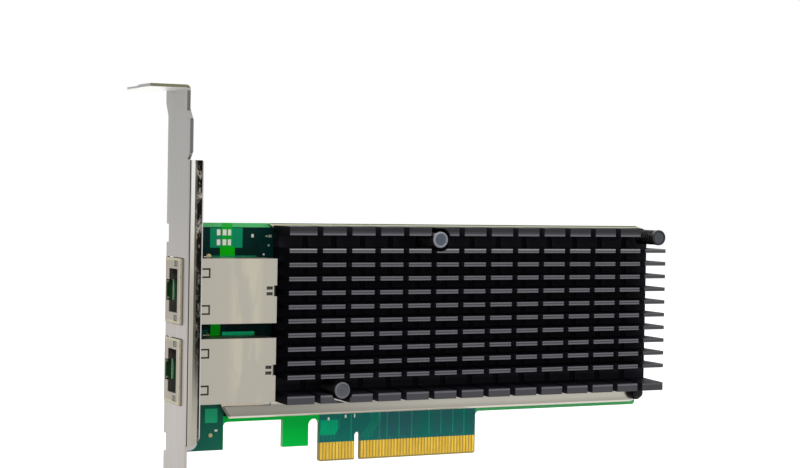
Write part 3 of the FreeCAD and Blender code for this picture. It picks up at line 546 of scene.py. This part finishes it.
def pin_finish(name, node, dish, rim):
    """Moulded plastic with a rim round the dish of the head and a moulded cross in it. The rim's and the
    dish's tones are given per pin as painted light and shade, so the rim is lighter than the dish on two
    pins and darker on the third, and the cross is painted darker as painted shade.
    """
    head_y, dish_radius, cross_radius, arm_half = -13.9, 1.7, 1.0, 0.25
    stem = (0.012, 0.012, 0.013)
    low, high = (np.array(corner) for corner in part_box(node))
    middle = (low + high) / 2
    finish = Finish(name, Specular_IOR_Level=0.18)
    grain = finish.noise(900.0, 4.0, 0.6)
    across = finish.minus(finish.x, float(middle[0]))
    up = finish.minus(finish.z, float(middle[2]))
    reach = finish.math("SQRT", finish.plus(finish.times(across, across), finish.times(up, up)))
    head = finish.below(finish.y, head_y, 0.1)
    edge = finish.times(finish.above(reach, dish_radius, 0.1), head)
    arm = finish.math("MINIMUM", finish.math("ABSOLUTE", across), finish.math("ABSOLUTE", up))
    cross = finish.times(finish.below(arm, arm_half, 0.1), finish.below(reach, cross_radius, 0.1))
    # Painted shade: the cross is darker than the dish.
    inner = finish.mix(finish.times(cross, 0.3), dish, shade(dish, 0.5))
    colour = finish.mix(head, stem, finish.mix(edge, inner, rim))
    return finish.made(colour, grain, 0.3, 0.42, 0.05)


# Hues of the frame. The change from left to right, the arm's brown, the light band near the top of the rail,
# the dark band low down and the light lower edge are painted reflection, highlight and shade.
FRAME_HUES = {
    "right": (0.36, 0.345, 0.3), "left": (0.2, 0.19, 0.16), "arm": (0.38, 0.33, 0.26),
    "painted dark band": (0.13, 0.12, 0.1), "highlight_band": (0.52, 0.5, 0.45), "top": (0.46, 0.46, 0.31),
    "lower edge": (0.56, 0.52, 0.46), "drawn": (0.6, 0.58, 0.55),
}


def bright_finish():
    """Bright drawn aluminium of the frame under the heatsink. Its tones are painted: darker to the left and
    lighter to the right as painted reflection, brown on the left arm as painted reflection, a painted
    highlight band near the top of the rail, painted shade low down and a light painted reflection along
    its lower edge.
    """
    arm_z, arm_end, highlight_band_limits, top_z, edge_z, edge_y = 17.2, -30.5, (17.6, 19.0), 66.25, 14.4, -0.25
    hues = FRAME_HUES
    finish = Finish("drawn_aluminium", Metallic=1.0)
    x, y, z = finish.x, finish.y, finish.z
    drawn = finish.noise(300.0, 4.0, 0.6, (0.05, 1.0, 1.0))
    arm = finish.times(finish.above(z, arm_z, 0.1), finish.below(x, arm_end, 0.5))
    highlight_band = finish.times(finish.between(z, highlight_band_limits, 0.5), finish.minus(1.0, arm))
    colour = finish.layers(
        # Painted reflection: darker to the left and lighter to the right, and brown on the left arm.
        finish.mix(finish.ramp(x, -30.0, 36.0, 1.0, 0.0), hues["right"], hues["left"]),
        (arm, hues["arm"]),
        # Painted shade: darker low down on the rail.
        (finish.ramp(z, 14.5, 16.2, 0.42, 0.0), hues["painted dark band"]),
        # Painted highlight: a light band near the top of the rail.
        (highlight_band, hues["highlight_band"]),
        (finish.above(z, top_z, 0.25), hues["top"]),
        # Painted reflection: a light line along the lower front edge.
        (finish.times(finish.below(z, edge_z), finish.below(y, edge_y)), hues["lower edge"]),
        (finish.times(drawn, 0.15), hues["drawn"]),
    )
    return finish.made(colour, drawn, 0.24, 0.34, 0.08)


def jack_middle(side):
    """Height of a jack's middle."""
    low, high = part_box("jack_shield_" + side)
    return (low[2] + high[2]) / 2


def insert_finish():
    """Dark plastic; before the board's edge its latch channel is painted the board's green as a painted
    reflection.
    """
    mouth_end, channel_half, green = -56.5, 2.9, (0.012, 0.05, 0.018)
    finish = Finish("jack_insert", Specular_IOR_Level=0.15)
    grain = finish.noise(800.0, 3.0, 0.6)
    dark = finish.mix(grain, (0.05, 0.046, 0.04), (0.066, 0.061, 0.053))
    mouth = finish.below(finish.x, mouth_end, 0.1)
    for side in JACKS:
        middle = jack_middle(side) / MM
        channel = finish.between(finish.z, (middle - channel_half, middle + channel_half), 0.2)
        # Painted reflection of the board's green in the latch channel.
        dark = finish.mix(finish.times(channel, mouth), dark, green)
    return finish.made(dark, grain, 0.44, 0.56, 0.05)


def lip_finish(name, middle):
    """Tin lip, painted green like the board along its middle as a painted reflection, and bright only near
    its ends.
    """
    green_half, bright = 2.075, (0.5, 0.48, 0.4)
    finish = Finish(name, Specular_IOR_Level=0.15)
    away = finish.away(finish.z, float(middle))
    grain = finish.noise(800.0, 3.0, 0.6)
    green = finish.mix(grain, (0.01, 0.05, 0.012), (0.02, 0.1, 0.025))
    # Painted reflection of the board's green along the lip's middle.
    colour = finish.mix(finish.above(away, green_half, 0.175), green, bright)
    return finish.made(colour, grain, 0.4, 0.5, 0.0)


# ---- shapes ----------------------------------------------------------------------------------
def mesh_piece(name, points, faces, smooth=False):
    """A piece from an array of points and an array of four-cornered or three-cornered faces."""
    mesh = bpy.data.meshes.new(name)
    mesh.from_pydata(points.tolist(), [], faces.tolist())
    mesh.polygons.foreach_set("use_smooth", np.full(len(mesh.polygons), smooth))
    mesh.update()
    piece = bpy.data.objects.new(name, mesh)
    bpy.context.scene.collection.objects.link(piece)
    return piece


def settle(piece, material, slot, *replaced):
    """Gives a piece its material and lets it ride on the card; the slot is not used."""
    piece.data.materials.clear()
    piece.data.materials.append(material)
    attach(piece, "root")
    if replaced:
        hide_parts(*replaced)
    return piece


def slot_of(node):
    """The material slot that the record gives a node."""
    return next(s["material_slot"] for s in frame["record"]["subparts"] if s["node"] == node)


def coat(node, material):
    """Puts a material on a solid that stays as it is."""
    solid = frame["nodes"][node]
    solid.data.materials.clear()
    solid.data.materials.append(material)


def soften(node, name, material, width, segments=2, angle=35.0):
    """A copy of a solid with its doubles merged and its edges rounded to the given width."""
    mesh = frame["nodes"][node].data.copy()
    shape = bmesh.new()
    shape.from_mesh(mesh)
    bmesh.ops.remove_doubles(shape, verts=shape.verts, dist=0.5e-6)
    bmesh.ops.dissolve_limit(shape, angle_limit=math.radians(0.5), verts=shape.verts, edges=shape.edges)
    shape.to_mesh(mesh)
    shape.free()
    piece = bpy.data.objects.new(name, mesh)
    bpy.context.scene.collection.objects.link(piece)
    mesh.polygons.foreach_set("use_smooth", np.full(len(mesh.polygons), True))
    mesh.set_sharp_from_angle(angle=math.radians(angle))
    bevel = piece.modifiers.new("rounded edges", "BEVEL")
    bevel.width = width
    bevel.segments = segments
    bevel.limit_method = "ANGLE"
    bevel.angle_limit = math.radians(angle)
    bevel.use_clamp_overlap = True
    bevel.harden_normals = True
    return settle(piece, material, slot_of(node), node)


def grid_faces(rows, columns, close_rows=False, close_columns=False):
    """Quads over a grid of points in row order; a closed way joins its last line to its first."""
    last_row = rows if close_rows else rows - 1
    last_column = columns if close_columns else columns - 1
    i, j = np.meshgrid(np.arange(last_row), np.arange(last_column), indexing="ij")
    i, j = i.ravel(), j.ravel()
    below, beside = (i + 1) % rows, (j + 1) % columns
    here, under = i * columns, below * columns
    return np.stack([here + j, under + j, under + beside, here + beside], 1)


def coil_surface(centre, start, end, radius, wire, turns, closed_turns=1.0, steps=28, sides=10):
    """A compression spring: a circle of the wire's radius carried along a helix about Y.

    The rise is even between the closed turns at the two ends, where it is one wire's thickness a turn.
    """
    around = np.linspace(0, 2 * np.pi, sides, endpoint=False)
    t = np.linspace(0, turns, int(turns * steps) + 1)
    slow = wire * np.minimum(t, closed_turns)
    slow = slow + wire * np.clip(t - (turns - closed_turns), 0, closed_turns)
    open_turns = turns - 2 * closed_turns
    fast = np.clip(t - closed_turns, 0, open_turns) / open_turns
    travel = abs(end - start) - wire * (1 + 2 * closed_turns)
    rise = wire / 2 + slow + fast * travel
    y_middle = start + np.sign(end - start) * rise
    angle = 2 * np.pi * t
    out = radius + wire / 2 * np.cos(around)[None, :]
    x = centre[0] + out * np.cos(angle)[:, None]
    z = centre[1] + out * np.sin(angle)[:, None]
    y = y_middle[:, None] + wire / 2 * np.sin(around)[None, :]
    points = np.stack([x, y + 0 * out, z], -1).reshape(-1, 3)
    return points, grid_faces(len(t), sides, close_columns=True)


def lathe(profile, centre, segments=40):
    """A profile of (radius, y) pairs turned about the Y axis through centre (x, z)."""
    profile = np.asarray(profile, float)
    angle = np.linspace(0, 2 * np.pi, segments, endpoint=False)
    x = centre[0] + profile[:, 0][:, None] * np.cos(angle)
    z = centre[1] + profile[:, 0][:, None] * np.sin(angle)
    y = np.repeat(profile[:, 1][:, None], segments, 1)
    points = np.stack([x, y, z], -1).reshape(-1, 3)
    return points, grid_faces(len(profile), segments, close_columns=True)


def joined(parts):
    """Several (points, faces) pairs as one."""
    points, faces, count = [], [], 0
    for p, f in parts:
        points.append(p)
        faces.append(f + count)
        count += len(p)
    return np.concatenate(points), np.concatenate(faces)


def ribbon(path, width, face_y, height):
    """A low strip with sloped sides along a line of (x, z) points in millimetres.

    At each point the strip's way is the mean of the two runs that meet there, and the four lines of
    the strip lie square to it: two on the face and two at the given height.
    """
    path = np.asarray(path, float) * MM
    run = np.diff(path, axis=0)
    run /= np.linalg.norm(run, axis=1)[:, None]
    way = np.concatenate([run[:1], (run[:-1] + run[1:]) / 2, run[-1:]])
    way /= np.linalg.norm(way, axis=1)[:, None]
    square = np.stack([-way[:, 1], way[:, 0]], 1) * width * MM
    across = np.array([-0.5, -0.38, 0.38, 0.5])
    flat = path[:, None] + square[:, None] * across[None, :, None]
    y = np.broadcast_to(face_y + height * np.array([0, 1, 1, 0]), flat.shape[:2])
    points = np.stack([flat[..., 0], y, flat[..., 1]], -1).reshape(-1, 3)
    return points, grid_faces(len(path), 4)


def repeated(shape, centres):
    """One (points, faces) shape set down at every (x, z) centre in metres."""
    points, faces = shape
    centres = np.asarray(centres, float)
    shift = np.column_stack([centres[:, 0], np.zeros(len(centres)), centres[:, 1]])
    many = (points[None] + shift[:, None]).reshape(-1, 3)
    first = len(points) * np.arange(len(centres))
    return many, (faces[None] + first[:, None, None]).reshape(-1, faces.shape[1])


def plates(rows, face_y, thickness, edge):
    """Thin plates with sloped rims on a face of the board.

    Each row is (x middle, z middle, width, height) in millimetres; face_y and thickness are metres,
    and the sign of thickness says which way the plates stand out.
    """
    rows = np.asarray(rows, float) * MM
    corner = np.array([[-0.5, -0.5], [0.5, -0.5], [0.5, 0.5], [-0.5, 0.5]])
    low = rows[:, None, :2] + corner[None] * rows[:, None, 2:]
    high = rows[:, None, :2] + corner[None] * (rows[:, None, 2:] - 2 * edge)
    ring = np.concatenate([low, high], 1)
    y = np.concatenate([np.full(4, face_y), np.full(4, face_y + thickness)])
    points = np.stack([ring[..., 0], np.broadcast_to(y, ring.shape[:2]), ring[..., 1]], -1)
    one = np.array([[0, 1, 5, 4], [1, 2, 6, 5], [2, 3, 7, 6], [3, 0, 4, 7], [4, 5, 6, 7], [3, 2, 1, 0]])
    if thickness > 0:
        one = one[:, ::-1]
    faces = (one[None] + 8 * np.arange(len(rows))[:, None, None]).reshape(-1, 4)
    return points.reshape(-1, 3), faces


# ---- what lies on the board --------------------------------------------------------------------
BACK = 1.57 * MM      # the board's back face
FOIL = 0.035 * MM      # how far a trace stands up
TRACE = 0.2      # width of most traces
TALL_TRACES = (-2.1, 7.1, 9.6, 13.55, 17.7, 23.5, 27.5, 31.5, 35.3)
# Fans of traces: how many, the first one's (x, z) points, the step at each point to the next
# trace, and the width.
FRONT_FANS = (
    (6, ((1.7, 6.4), (1.7, 7.6), (4.3, 10.6), (4.3, 13.7)),
     ((0.62, 0), (0.62, 0), (0.62, 0.1), (0.62, 0)), TRACE),
    (4, ((-11.0, 6.2), (-11.0, 7.6), (-9.4, 9.6), (-9.4, 12.4)), ((1.2, 0),) * 4, TRACE),
    (4, ((-55.5, 39.2), (-49.0, 39.2), (-48.3, 38.6), (-46.9, 38.6)), ((0, -0.55),) * 4, TRACE),
)
BACK_FANS = (
    (15, ((-30.0, 40.0), (-12.0, 40.0), (-8.0, 36.0), (-6.5, 36.0)),
     ((0.8, 1.1), (0, 1.1), (0, 0.9), (0, 0.9)), TRACE),
    (30, ((2.0, 9.8), (2.0, 16.0), (4.5, 21.0), (4.5, 30.0)),
     ((1.15, 0), (1.15, 0), (0.5, 0), (0.5, 0)), TRACE),
    (9, ((26.0, 52.5), (60.0, 52.5), (68.0, 45.0), (90.0, 45.0)),
     ((0, 1.3), (2.0, 1.3), (2.0, 1.3), (0, 1.3)), 0.3),
)
# Pads: x and z of the middle, width and height.
TIN_PADS = (
    (-44.1, 66.2, 1.1, 1.7), (-44.1, 63.4, 1.1, 1.7), (-42.35, 66.2, 1.2, 1.7), (-42.35, 63.4, 1.2, 1.7),
    (-40.85, 66.2, 1.0, 1.7), (-40.85, 63.4, 1.0, 1.7), (-33.9, 65.3, 0.8, 1.0), (-29.6, 65.2, 0.6, 0.4),
    (-28.5, 65.2, 1.0, 0.8), (-28.9, 62.6, 0.6, 0.6), (-30.4, 60.0, 0.6, 0.6), (-9.3, 12.3, 0.6, 0.9),
    (-3.9, 12.8, 0.6, 0.9), (-1.0, 12.9, 0.4, 1.2), (-44.0, 10.4, 0.9, 0.6), (-40.6, 16.0, 0.9, 0.6),
)
# Round pads: x, z and radius.
GOLD_PADS = ((-46.9, 59.4, 0.8), (-46.9, 37.0, 0.75), (-45.6, 9.1, 0.6))
GOLD_PAD_PROFILE = ((1.0, 0.001), (0.9, 0.08), (0.5, 0.16), (0.02, 0.18))      # share of radius, height
VIA_PROFILE = ((0.42, 0.0), (0.38, 0.05), (0.2, 0.05), (0.17, 0.0))      # radius, height
VIA_GRID = (24, 5)
VIA_FIRST = (58.0, 18.5)
VIA_PITCH = (1.5, 3.1)


def fan_ribbons(fans, face_y, height):
    """Ribbons for fans of traces: trace n has the first one's points plus n steps."""
    ribbons = []
    for count, first, step, width in fans:
        lines = np.array(first) + np.array(step) * np.arange(count)[:, None, None]
        ribbons += [ribbon(line, width, face_y, height) for line in lines]
    return ribbons


def contact_ribbons():
    """Ribbons up from the front's contacts: a few tall ones, and a stub on each right of the key."""
    contacts, first_x, foot = 38, 1.5, 5.45
    short, long = 5.9, 6.5
    tall = [ribbon([(x, 5.7), (x, 13.7)], 0.36, 0.0, -FOIL) for x in TALL_TRACES]
    ends = [long if n % 4 in (1, 2) else short for n in range(contacts)]
    lines = [[(first_x + n, foot), (first_x + n, end)] for n, end in enumerate(ends)]
    return tall + [ribbon(line, 0.16, 0.0, -FOIL) for line in lines]


def lay_traces():
    """Copper lines that stand up a little under the mask, on both faces."""
    lit = plain_finish("mask_over_trace", (0.012, 0.3, 0.19), 0.45, IOR=1.5, Specular_IOR_Level=0.12)
    front = joined(contact_ribbons() + fan_ribbons(FRONT_FANS, 0.0, -FOIL))
    settle(mesh_piece("front_traces", *front), lit, "board_laminate")
    back = joined(fan_ribbons(BACK_FANS, BACK, FOIL))
    settle(mesh_piece("back_traces", *back), lit, "board_laminate")


def lay_pads(gold):
    """Tinned and gilded pads, and the rings of the vias, whose rows are shifted by half a pitch in turn."""
    tin = plain_finish("tinned_pad", (0.55, 0.56, 0.5), 0.35, Metallic=0.6)
    settle(mesh_piece("tin_pads", *plates(TIN_PADS, 0.0, -0.06 * MM, 0.05 * MM)), tin, "tin_pins")
    rounds = []
    for x, z, radius in GOLD_PADS:
        profile = [(radius * MM * share, -height * MM) for share, height in GOLD_PAD_PROFILE]
        rounds.append(lathe(profile, (x * MM, z * MM), 32))
    pale = plain_finish("pale_gold", (0.55, 0.5, 0.24), 0.4, Specular_IOR_Level=0.3)
    settle(mesh_piece("gold_pads", *joined(rounds)), pale, "gold_plating")
    via = lathe(np.array(VIA_PROFILE) * MM, (0, 0), 16)
    across, up = np.meshgrid(np.arange(VIA_GRID[0]), np.arange(VIA_GRID[1]))
    x = VIA_FIRST[0] + VIA_PITCH[0] * (across + 0.5 * (up % 2))
    z = VIA_FIRST[1] + VIA_PITCH[1] * up
    points, faces = repeated(via, np.column_stack([x.ravel(), z.ravel()]) * MM)
    points[:, 1] += BACK
    settle(mesh_piece("back_vias", points, faces), gold, "gold_plating")


def flow_solder():
    """Solder fillets round the jacks' pins and posts behind the board.

    A fillet's radius is its foot's less a drop times the sine of a quarter turn's share t, and its
    height grows as t to the power 1.6. A pin's middle is the mean of the corners in its cell.
    """
    foot, drop, height, power = 0.85, 0.55, 0.8 * MM, 1.6
    cell, reach = 1.02 * MM, 0.52 * MM
    tin = plain_finish("solder", (0.55, 0.55, 0.53), 0.25, grain=500.0, relief=0.15, Metallic=1.0)
    t = np.linspace(0, 1, 7)
    profile = np.column_stack([(foot - drop * np.sin(t * np.pi / 2)) * MM, BACK + height * t ** power])
    fillet = lathe(profile, (0.0, 0.0), 20)
    for side in JACKS:
        solid = frame["nodes"]["jack_solder_pins_" + side]
        corners = np.empty(len(solid.data.vertices) * 3)
        solid.data.vertices.foreach_get("co", corners)
        corners = corners.reshape(-1, 3)
        ends = corners[corners[:, 1] > BACK][:, [0, 2]]
        places = np.unique(np.round(ends / cell).astype(int), axis=0) * cell
        centres = [ends[(np.abs(ends - place) < reach).all(1)].mean(0) for place in places]
        points, faces = repeated(fillet, np.array(centres))
        settle(mesh_piece("solder_fillets_" + side, points, faces, True), tin, "tin_pins")


def lay_latch_lip(side):
    """The bent lip of the shell on the far wall of the latch's recess, as a thin curved strip.

    From the nose inward the strip's height falls as a quarter of a cosine wave.
    """
    inset, depth, top, fall, half_width, lines = 0.06, 0.85, 0.75, 0.55, 2.55, 7
    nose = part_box("jack_shield_" + side)[0][0]
    middle = jack_middle(side)
    along = np.linspace(0, 1, lines)
    x = nose + (inset + depth * along) * MM
    y = (top + fall * (1 - np.cos(along * np.pi / 2))) * MM
    z = middle + np.array([-half_width, half_width]) * MM
    points = np.stack([np.repeat(x, 2), np.repeat(y, 2), np.tile(z, lines)], -1)
    finish = lip_finish("latch_lip_" + side, middle)
    settle(mesh_piece("latch_lip_" + side, points, grid_faces(lines, 2), True), finish, "tin_shell")


# ---- operators: one for each piece or group of like pieces ------------------------------------
class CARD_OT_board(bpy.types.Operator):
    """Masks the board and lays its pads and traces"""

    bl_idname = "card.board"
    bl_label = "Circuit board"

    def execute(self, context):
        scene = context.scene
        coat("circuit_board", board_finish(scene.card_colours))
        lay_traces()
        lay_pads(contact_finish(scene.card_colours))
        flow_solder()
        return {"FINISHED"}


class CARD_OT_contacts(bpy.types.Operator):
    """Plates the edge contacts in gold"""

    bl_idname = "card.contacts"
    bl_label = "Edge contacts"

    def execute(self, context):
        gold = contact_finish(context.scene.card_colours)
        coat("edge_contacts_front", gold)
        coat("edge_contacts_back", gold)
        return {"FINISHED"}


class CARD_OT_bracket(bpy.types.Operator):
    """Plates the folded bracket and its screws"""

    bl_idname = "card.bracket"
    bl_label = "Bracket"

    def execute(self, context):
        scene = context.scene
        plate = bracket_finish(scene.card_colours)
        soften("io_bracket", "bracket", plate, scene.card_sizes.sheet_edge)
        zinc = plain_finish("zinc_plate", (0.38, 0.38, 0.38), 0.35, Metallic=1.0)
        soften("bracket_screws", "screws", zinc, SHELL_EDGE)
        return {"FINISHED"}


class CARD_OT_jacks(bpy.types.Operator):
    """Finishes the jacks' shells, inserts, contacts and light guides"""

    bl_idname = "card.jacks"
    bl_label = "Jacks"

    def execute(self, context):
        scene = context.scene
        shell = shell_finish(scene.card_colours)
        insert = insert_finish()
        wires = plain_finish("contact_wire", (0.13, 0.24, 0.1), 0.4, Specular_IOR_Level=0.3)
        clear = plain_finish("light_guide", (0.1, 0.08, 0.05), 0.25, IOR=1.49, Specular_IOR_Level=0.3)
        tin = plain_finish("tinned_pin", (0.6, 0.59, 0.56), 0.3, Metallic=1.0)
        for side in JACKS:
            soften("jack_shield_" + side, "jack_shell_" + side, shell, SHELL_EDGE)
            coat("jack_housing_" + side, insert)
            lay_latch_lip(side)
            coat("jack_contacts_" + side, wires)
            coat("jack_light_pipes_" + side, clear)
            coat("jack_transformers_" + side, insert)
            coat("jack_solder_pins_" + side, tin)
        return {"FINISHED"}


class CARD_OT_heatsink(bpy.types.Operator):
    """Anodises the cross-cut heatsink and rounds its sawn edges"""

    bl_idname = "card.heatsink"
    bl_label = "Heatsink"

    def execute(self, context):
        scene = context.scene
        black = anodised_finish(scene.card_colours)
        soften("heatsink", "cross_cut_heatsink", black, scene.card_sizes.fin_edge)
        soften("heatsink_frame", "bright_frame", bright_finish(), FRAME_EDGE, 3)
        pad = plain_finish("pad_silicone", (0.3, 0.36, 0.42), 0.7)
        coat("thermal_pad", pad)
        return {"FINISHED"}


class CARD_OT_pins(bpy.types.Operator):
    """Moulds the sprung pins and the rivet, and winds the springs"""

    bl_idname = "card.pins"
    bl_label = "Pins and springs"

    def execute(self, context):
        scene = context.scene
        # Painted light and shade: the dish and rim tones differ from pin to pin though the pins are alike.
        painted_head_tones = {
            "upper_middle": ((0.07, 0.09, 0.12), (0.27, 0.27, 0.31)),
            "upper_right": ((0.055, 0.061, 0.07), (0.025, 0.027, 0.03)),
            "lower_left": ((0.085, 0.09, 0.105), (0.14, 0.14, 0.16)),
        }
        # Near-black steel for the springs.
        steel = plain_finish("near_black_steel", (0.02, 0.02, 0.02), 0.35, Metallic=1.0)
        wire = scene.card_sizes.wire
        for place in PINS:
            node = "push_pin_" + place
            soften(node, "pin_" + place, pin_finish("nylon_" + place, node, *painted_head_tones[place]), PIN_EDGE, 3)
            low, high = (np.array(corner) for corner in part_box("pin_spring_" + place))
            middle = (low + high) / 2
            radius = (high[0] - low[0] - wire) / 2
            points, faces = coil_surface((middle[0], middle[2]), high[1], low[1], radius, wire, SPRING_TURNS)
            coil = mesh_piece("spring_" + place, points, faces, True)
            settle(coil, steel, "spring_steel", "pin_spring_" + place)
        nylon = plain_finish("black_nylon", (0.012, 0.012, 0.013), 0.35, Specular_IOR_Level=0.12)
        soften("push_rivet", "rivet", nylon, PIN_EDGE, 3)
        return {"FINISHED"}


class CARD_OT_chips(bpy.types.Operator):
    """Finishes the controller and the chips and coils under the heatsink"""

    bl_idname = "card.chips"
    bl_label = "Chips"

    def execute(self, context):
        resin = plain_finish("moulded_resin", (0.02, 0.02, 0.021), 0.5)
        nickel = plain_finish("nickel_lid", (0.55, 0.55, 0.53), 0.32, Metallic=1.0)
        substrate = plain_finish("chip_laminate", (0.02, 0.16, 0.05), 0.4)
        ferrite = plain_finish("pressed_ferrite", (0.1, 0.1, 0.11), 0.6)
        ceramic = plain_finish("fired_ceramic", (0.32, 0.2, 0.11), 0.45)
        finishes = {
            "controller_substrate": substrate, "controller_lid": nickel, "crystal_can": nickel,
            "flash_memory_chip": resin, "voltage_regulators": resin, "power_inductors": ferrite,
            "board_capacitors": ceramic, "lane_capacitors": ceramic, "back_capacitors": ceramic,
            "back_resistors": resin,
        }
        for node, material in finishes.items():
            coat(node, material)
        return {"FINISHED"}


class CARD_OT_stage(bpy.types.Operator):
    """Sets the floor, the lights and the camera"""

    bl_idname = "card.stage"
    bl_label = "Stage"

    def execute(self, context):
        scene = context.scene
        look = scene.card_stage
        lay_floor()
        set_sky(scene, look.sky)
        hang_lights()
        place_camera(scene, look)
        scene.view_settings.view_transform = "Standard"
        return {"FINISHED"}


def seen_by(nodes, links, *rays):
    """One for rays of the given kinds and zero for all others."""
    path = nodes.new("ShaderNodeLightPath")
    seen = path.outputs[rays[0]]
    for ray in rays[1:]:
        either = nodes.new("ShaderNodeMath")
        either.operation = "MAXIMUM"
        links.new(seen, either.inputs[0])
        links.new(path.outputs[ray], either.inputs[1])
        seen = either.outputs[0]
    return seen


def lay_floor():
    """A pale floor under the card, which also shines where it is seen or mirrored."""
    half, gap = 3.0, 0.2 * MM
    grey, shine = (0.6, 0.6, 0.6, 1), (0.66, 0.66, 0.66, 1)
    corner = np.array([[-1, -1], [1, -1], [1, 1], [-1, 1]]) * half
    points = np.column_stack([corner, np.full(4, CAD_BOX[0][2] - gap)])
    floor = mesh_piece("floor", points, np.array([[0, 1, 2, 3]]))
    material = bpy.data.materials.new("pale_floor")
    material.use_nodes = True
    nodes, links = material.node_tree.nodes, material.node_tree.links
    surface = next(n for n in nodes if n.type == "BSDF_PRINCIPLED")
    surface.inputs["Base Color"].default_value = grey
    surface.inputs["Roughness"].default_value = 0.9
    surface.inputs["Specular IOR Level"].default_value = 0.0
    seen = seen_by(nodes, links, "Is Camera Ray", "Is Glossy Ray")
    links.new(seen, surface.inputs["Emission Strength"])
    surface.inputs["Emission Color"].default_value = shine
    floor.data.materials.append(material)


def set_sky(scene, strength):
    """White where it is seen or mirrored, and an even light of the given strength otherwise."""
    world = bpy.data.worlds.new("studio")
    world.use_nodes = True
    nodes, links = world.node_tree.nodes, world.node_tree.links
    background = next(n for n in nodes if n.type == "BACKGROUND")
    seen = seen_by(nodes, links, "Is Camera Ray", "Is Glossy Ray", "Is Transmission Ray")
    level = nodes.new("ShaderNodeMapRange")
    links.new(seen, level.inputs["Value"])
    level.inputs["To Min"].default_value = strength
    level.inputs["To Max"].default_value = 1.0
    links.new(level.outputs[0], background.inputs["Strength"])
    background.inputs["Color"].default_value = (1, 1, 1, 1)
    scene.world = world


def hang_lights():
    """Three large soft lamps: name, place, target, width and power in watts."""
    lamps = (
        ("key", (-0.7, -1.0, 1.1), (0.0, 0.0, 0.05), 0.9, 11.0),
        ("fill", (1.0, -1.0, 0.6), (0.0, 0.0, 0.05), 1.0, 5.0),
        ("back", (0.2, 1.1, 0.9), (0.0, 0.0, 0.05), 1.0, 6.0),
    )
    for name, place, target, width, power in lamps:
        lamp = bpy.data.lights.new(name, "AREA")
        lamp.size = width
        lamp.energy = power
        light = bpy.data.objects.new(name, lamp)
        light.location = place
        light.rotation_euler = (Vector(target) - Vector(place)).to_track_quat("-Z", "Y").to_euler()
        bpy.context.scene.collection.objects.link(light)


def place_camera(scene, look):
    """Turns the camera by yaw about Z, by pitch down and by roll about its own axis."""
    lens = bpy.data.cameras.new("camera")
    lens.lens = look.lens
    lens.sensor_width = 36.0
    lens.clip_start = 0.01
    camera = bpy.data.objects.new("camera", lens)
    c, s = math.cos(look.yaw), math.sin(look.yaw)
    flat = np.array([[c, -s, 0], [0, 0, -1], [s, c, 0]])
    c, s = math.cos(look.pitch), math.sin(look.pitch)
    tilt = np.array([[1, 0, 0], [0, c, -s], [0, s, c]])
    c, s = math.cos(look.roll), math.sin(look.roll)
    bank = np.array([[c, -s, 0], [s, c, 0], [0, 0, 1]])
    right, down, ahead = bank @ tilt @ flat
    turn = Matrix(np.column_stack([right, -down, -ahead]).tolist())
    camera.matrix_world = Matrix.Translation(look.place) @ turn.to_4x4()
    scene.collection.objects.link(camera)
    scene.camera = camera


# ---- sidebar -----------------------------------------------------------------------------------
STEPS = (
    CARD_OT_board, CARD_OT_contacts, CARD_OT_bracket, CARD_OT_jacks, CARD_OT_heatsink,
    CARD_OT_pins, CARD_OT_chips, CARD_OT_stage,
)
GROUPS = {"card_colours": CardColours, "card_sizes": CardSizes, "card_stage": StageLook}


class CARD_PT_sidebar(bpy.types.Panel):
    """The card's steps, colours, sizes and stage"""

    bl_label = "Network card"
    bl_space_type = "VIEW_3D"
    bl_region_type = "UI"
    bl_category = "Network card"

    def draw(self, context):
        for step in STEPS:
            self.layout.operator(step.bl_idname)
        for group, kind in GROUPS.items():
            box = self.layout.box()
            for name in kind.__annotations__:
                box.prop(getattr(context.scene, group), name)


def register():
    for kind in (*GROUPS.values(), *STEPS, CARD_PT_sidebar):
        bpy.utils.register_class(kind)
    for group, kind in GROUPS.items():
        setattr(bpy.types.Scene, group, bpy.props.PointerProperty(type=kind))


def unregister():
    for group in GROUPS:
        delattr(bpy.types.Scene, group)
    for kind in (CARD_PT_sidebar, *reversed(STEPS), *GROUPS.values()):
        bpy.utils.unregister_class(kind)


def main():
    register()
    for step in STEPS:
        group, name = step.bl_idname.split(".")
        getattr(getattr(bpy.ops, group), name)()


if __name__ == "__main__":
    main()
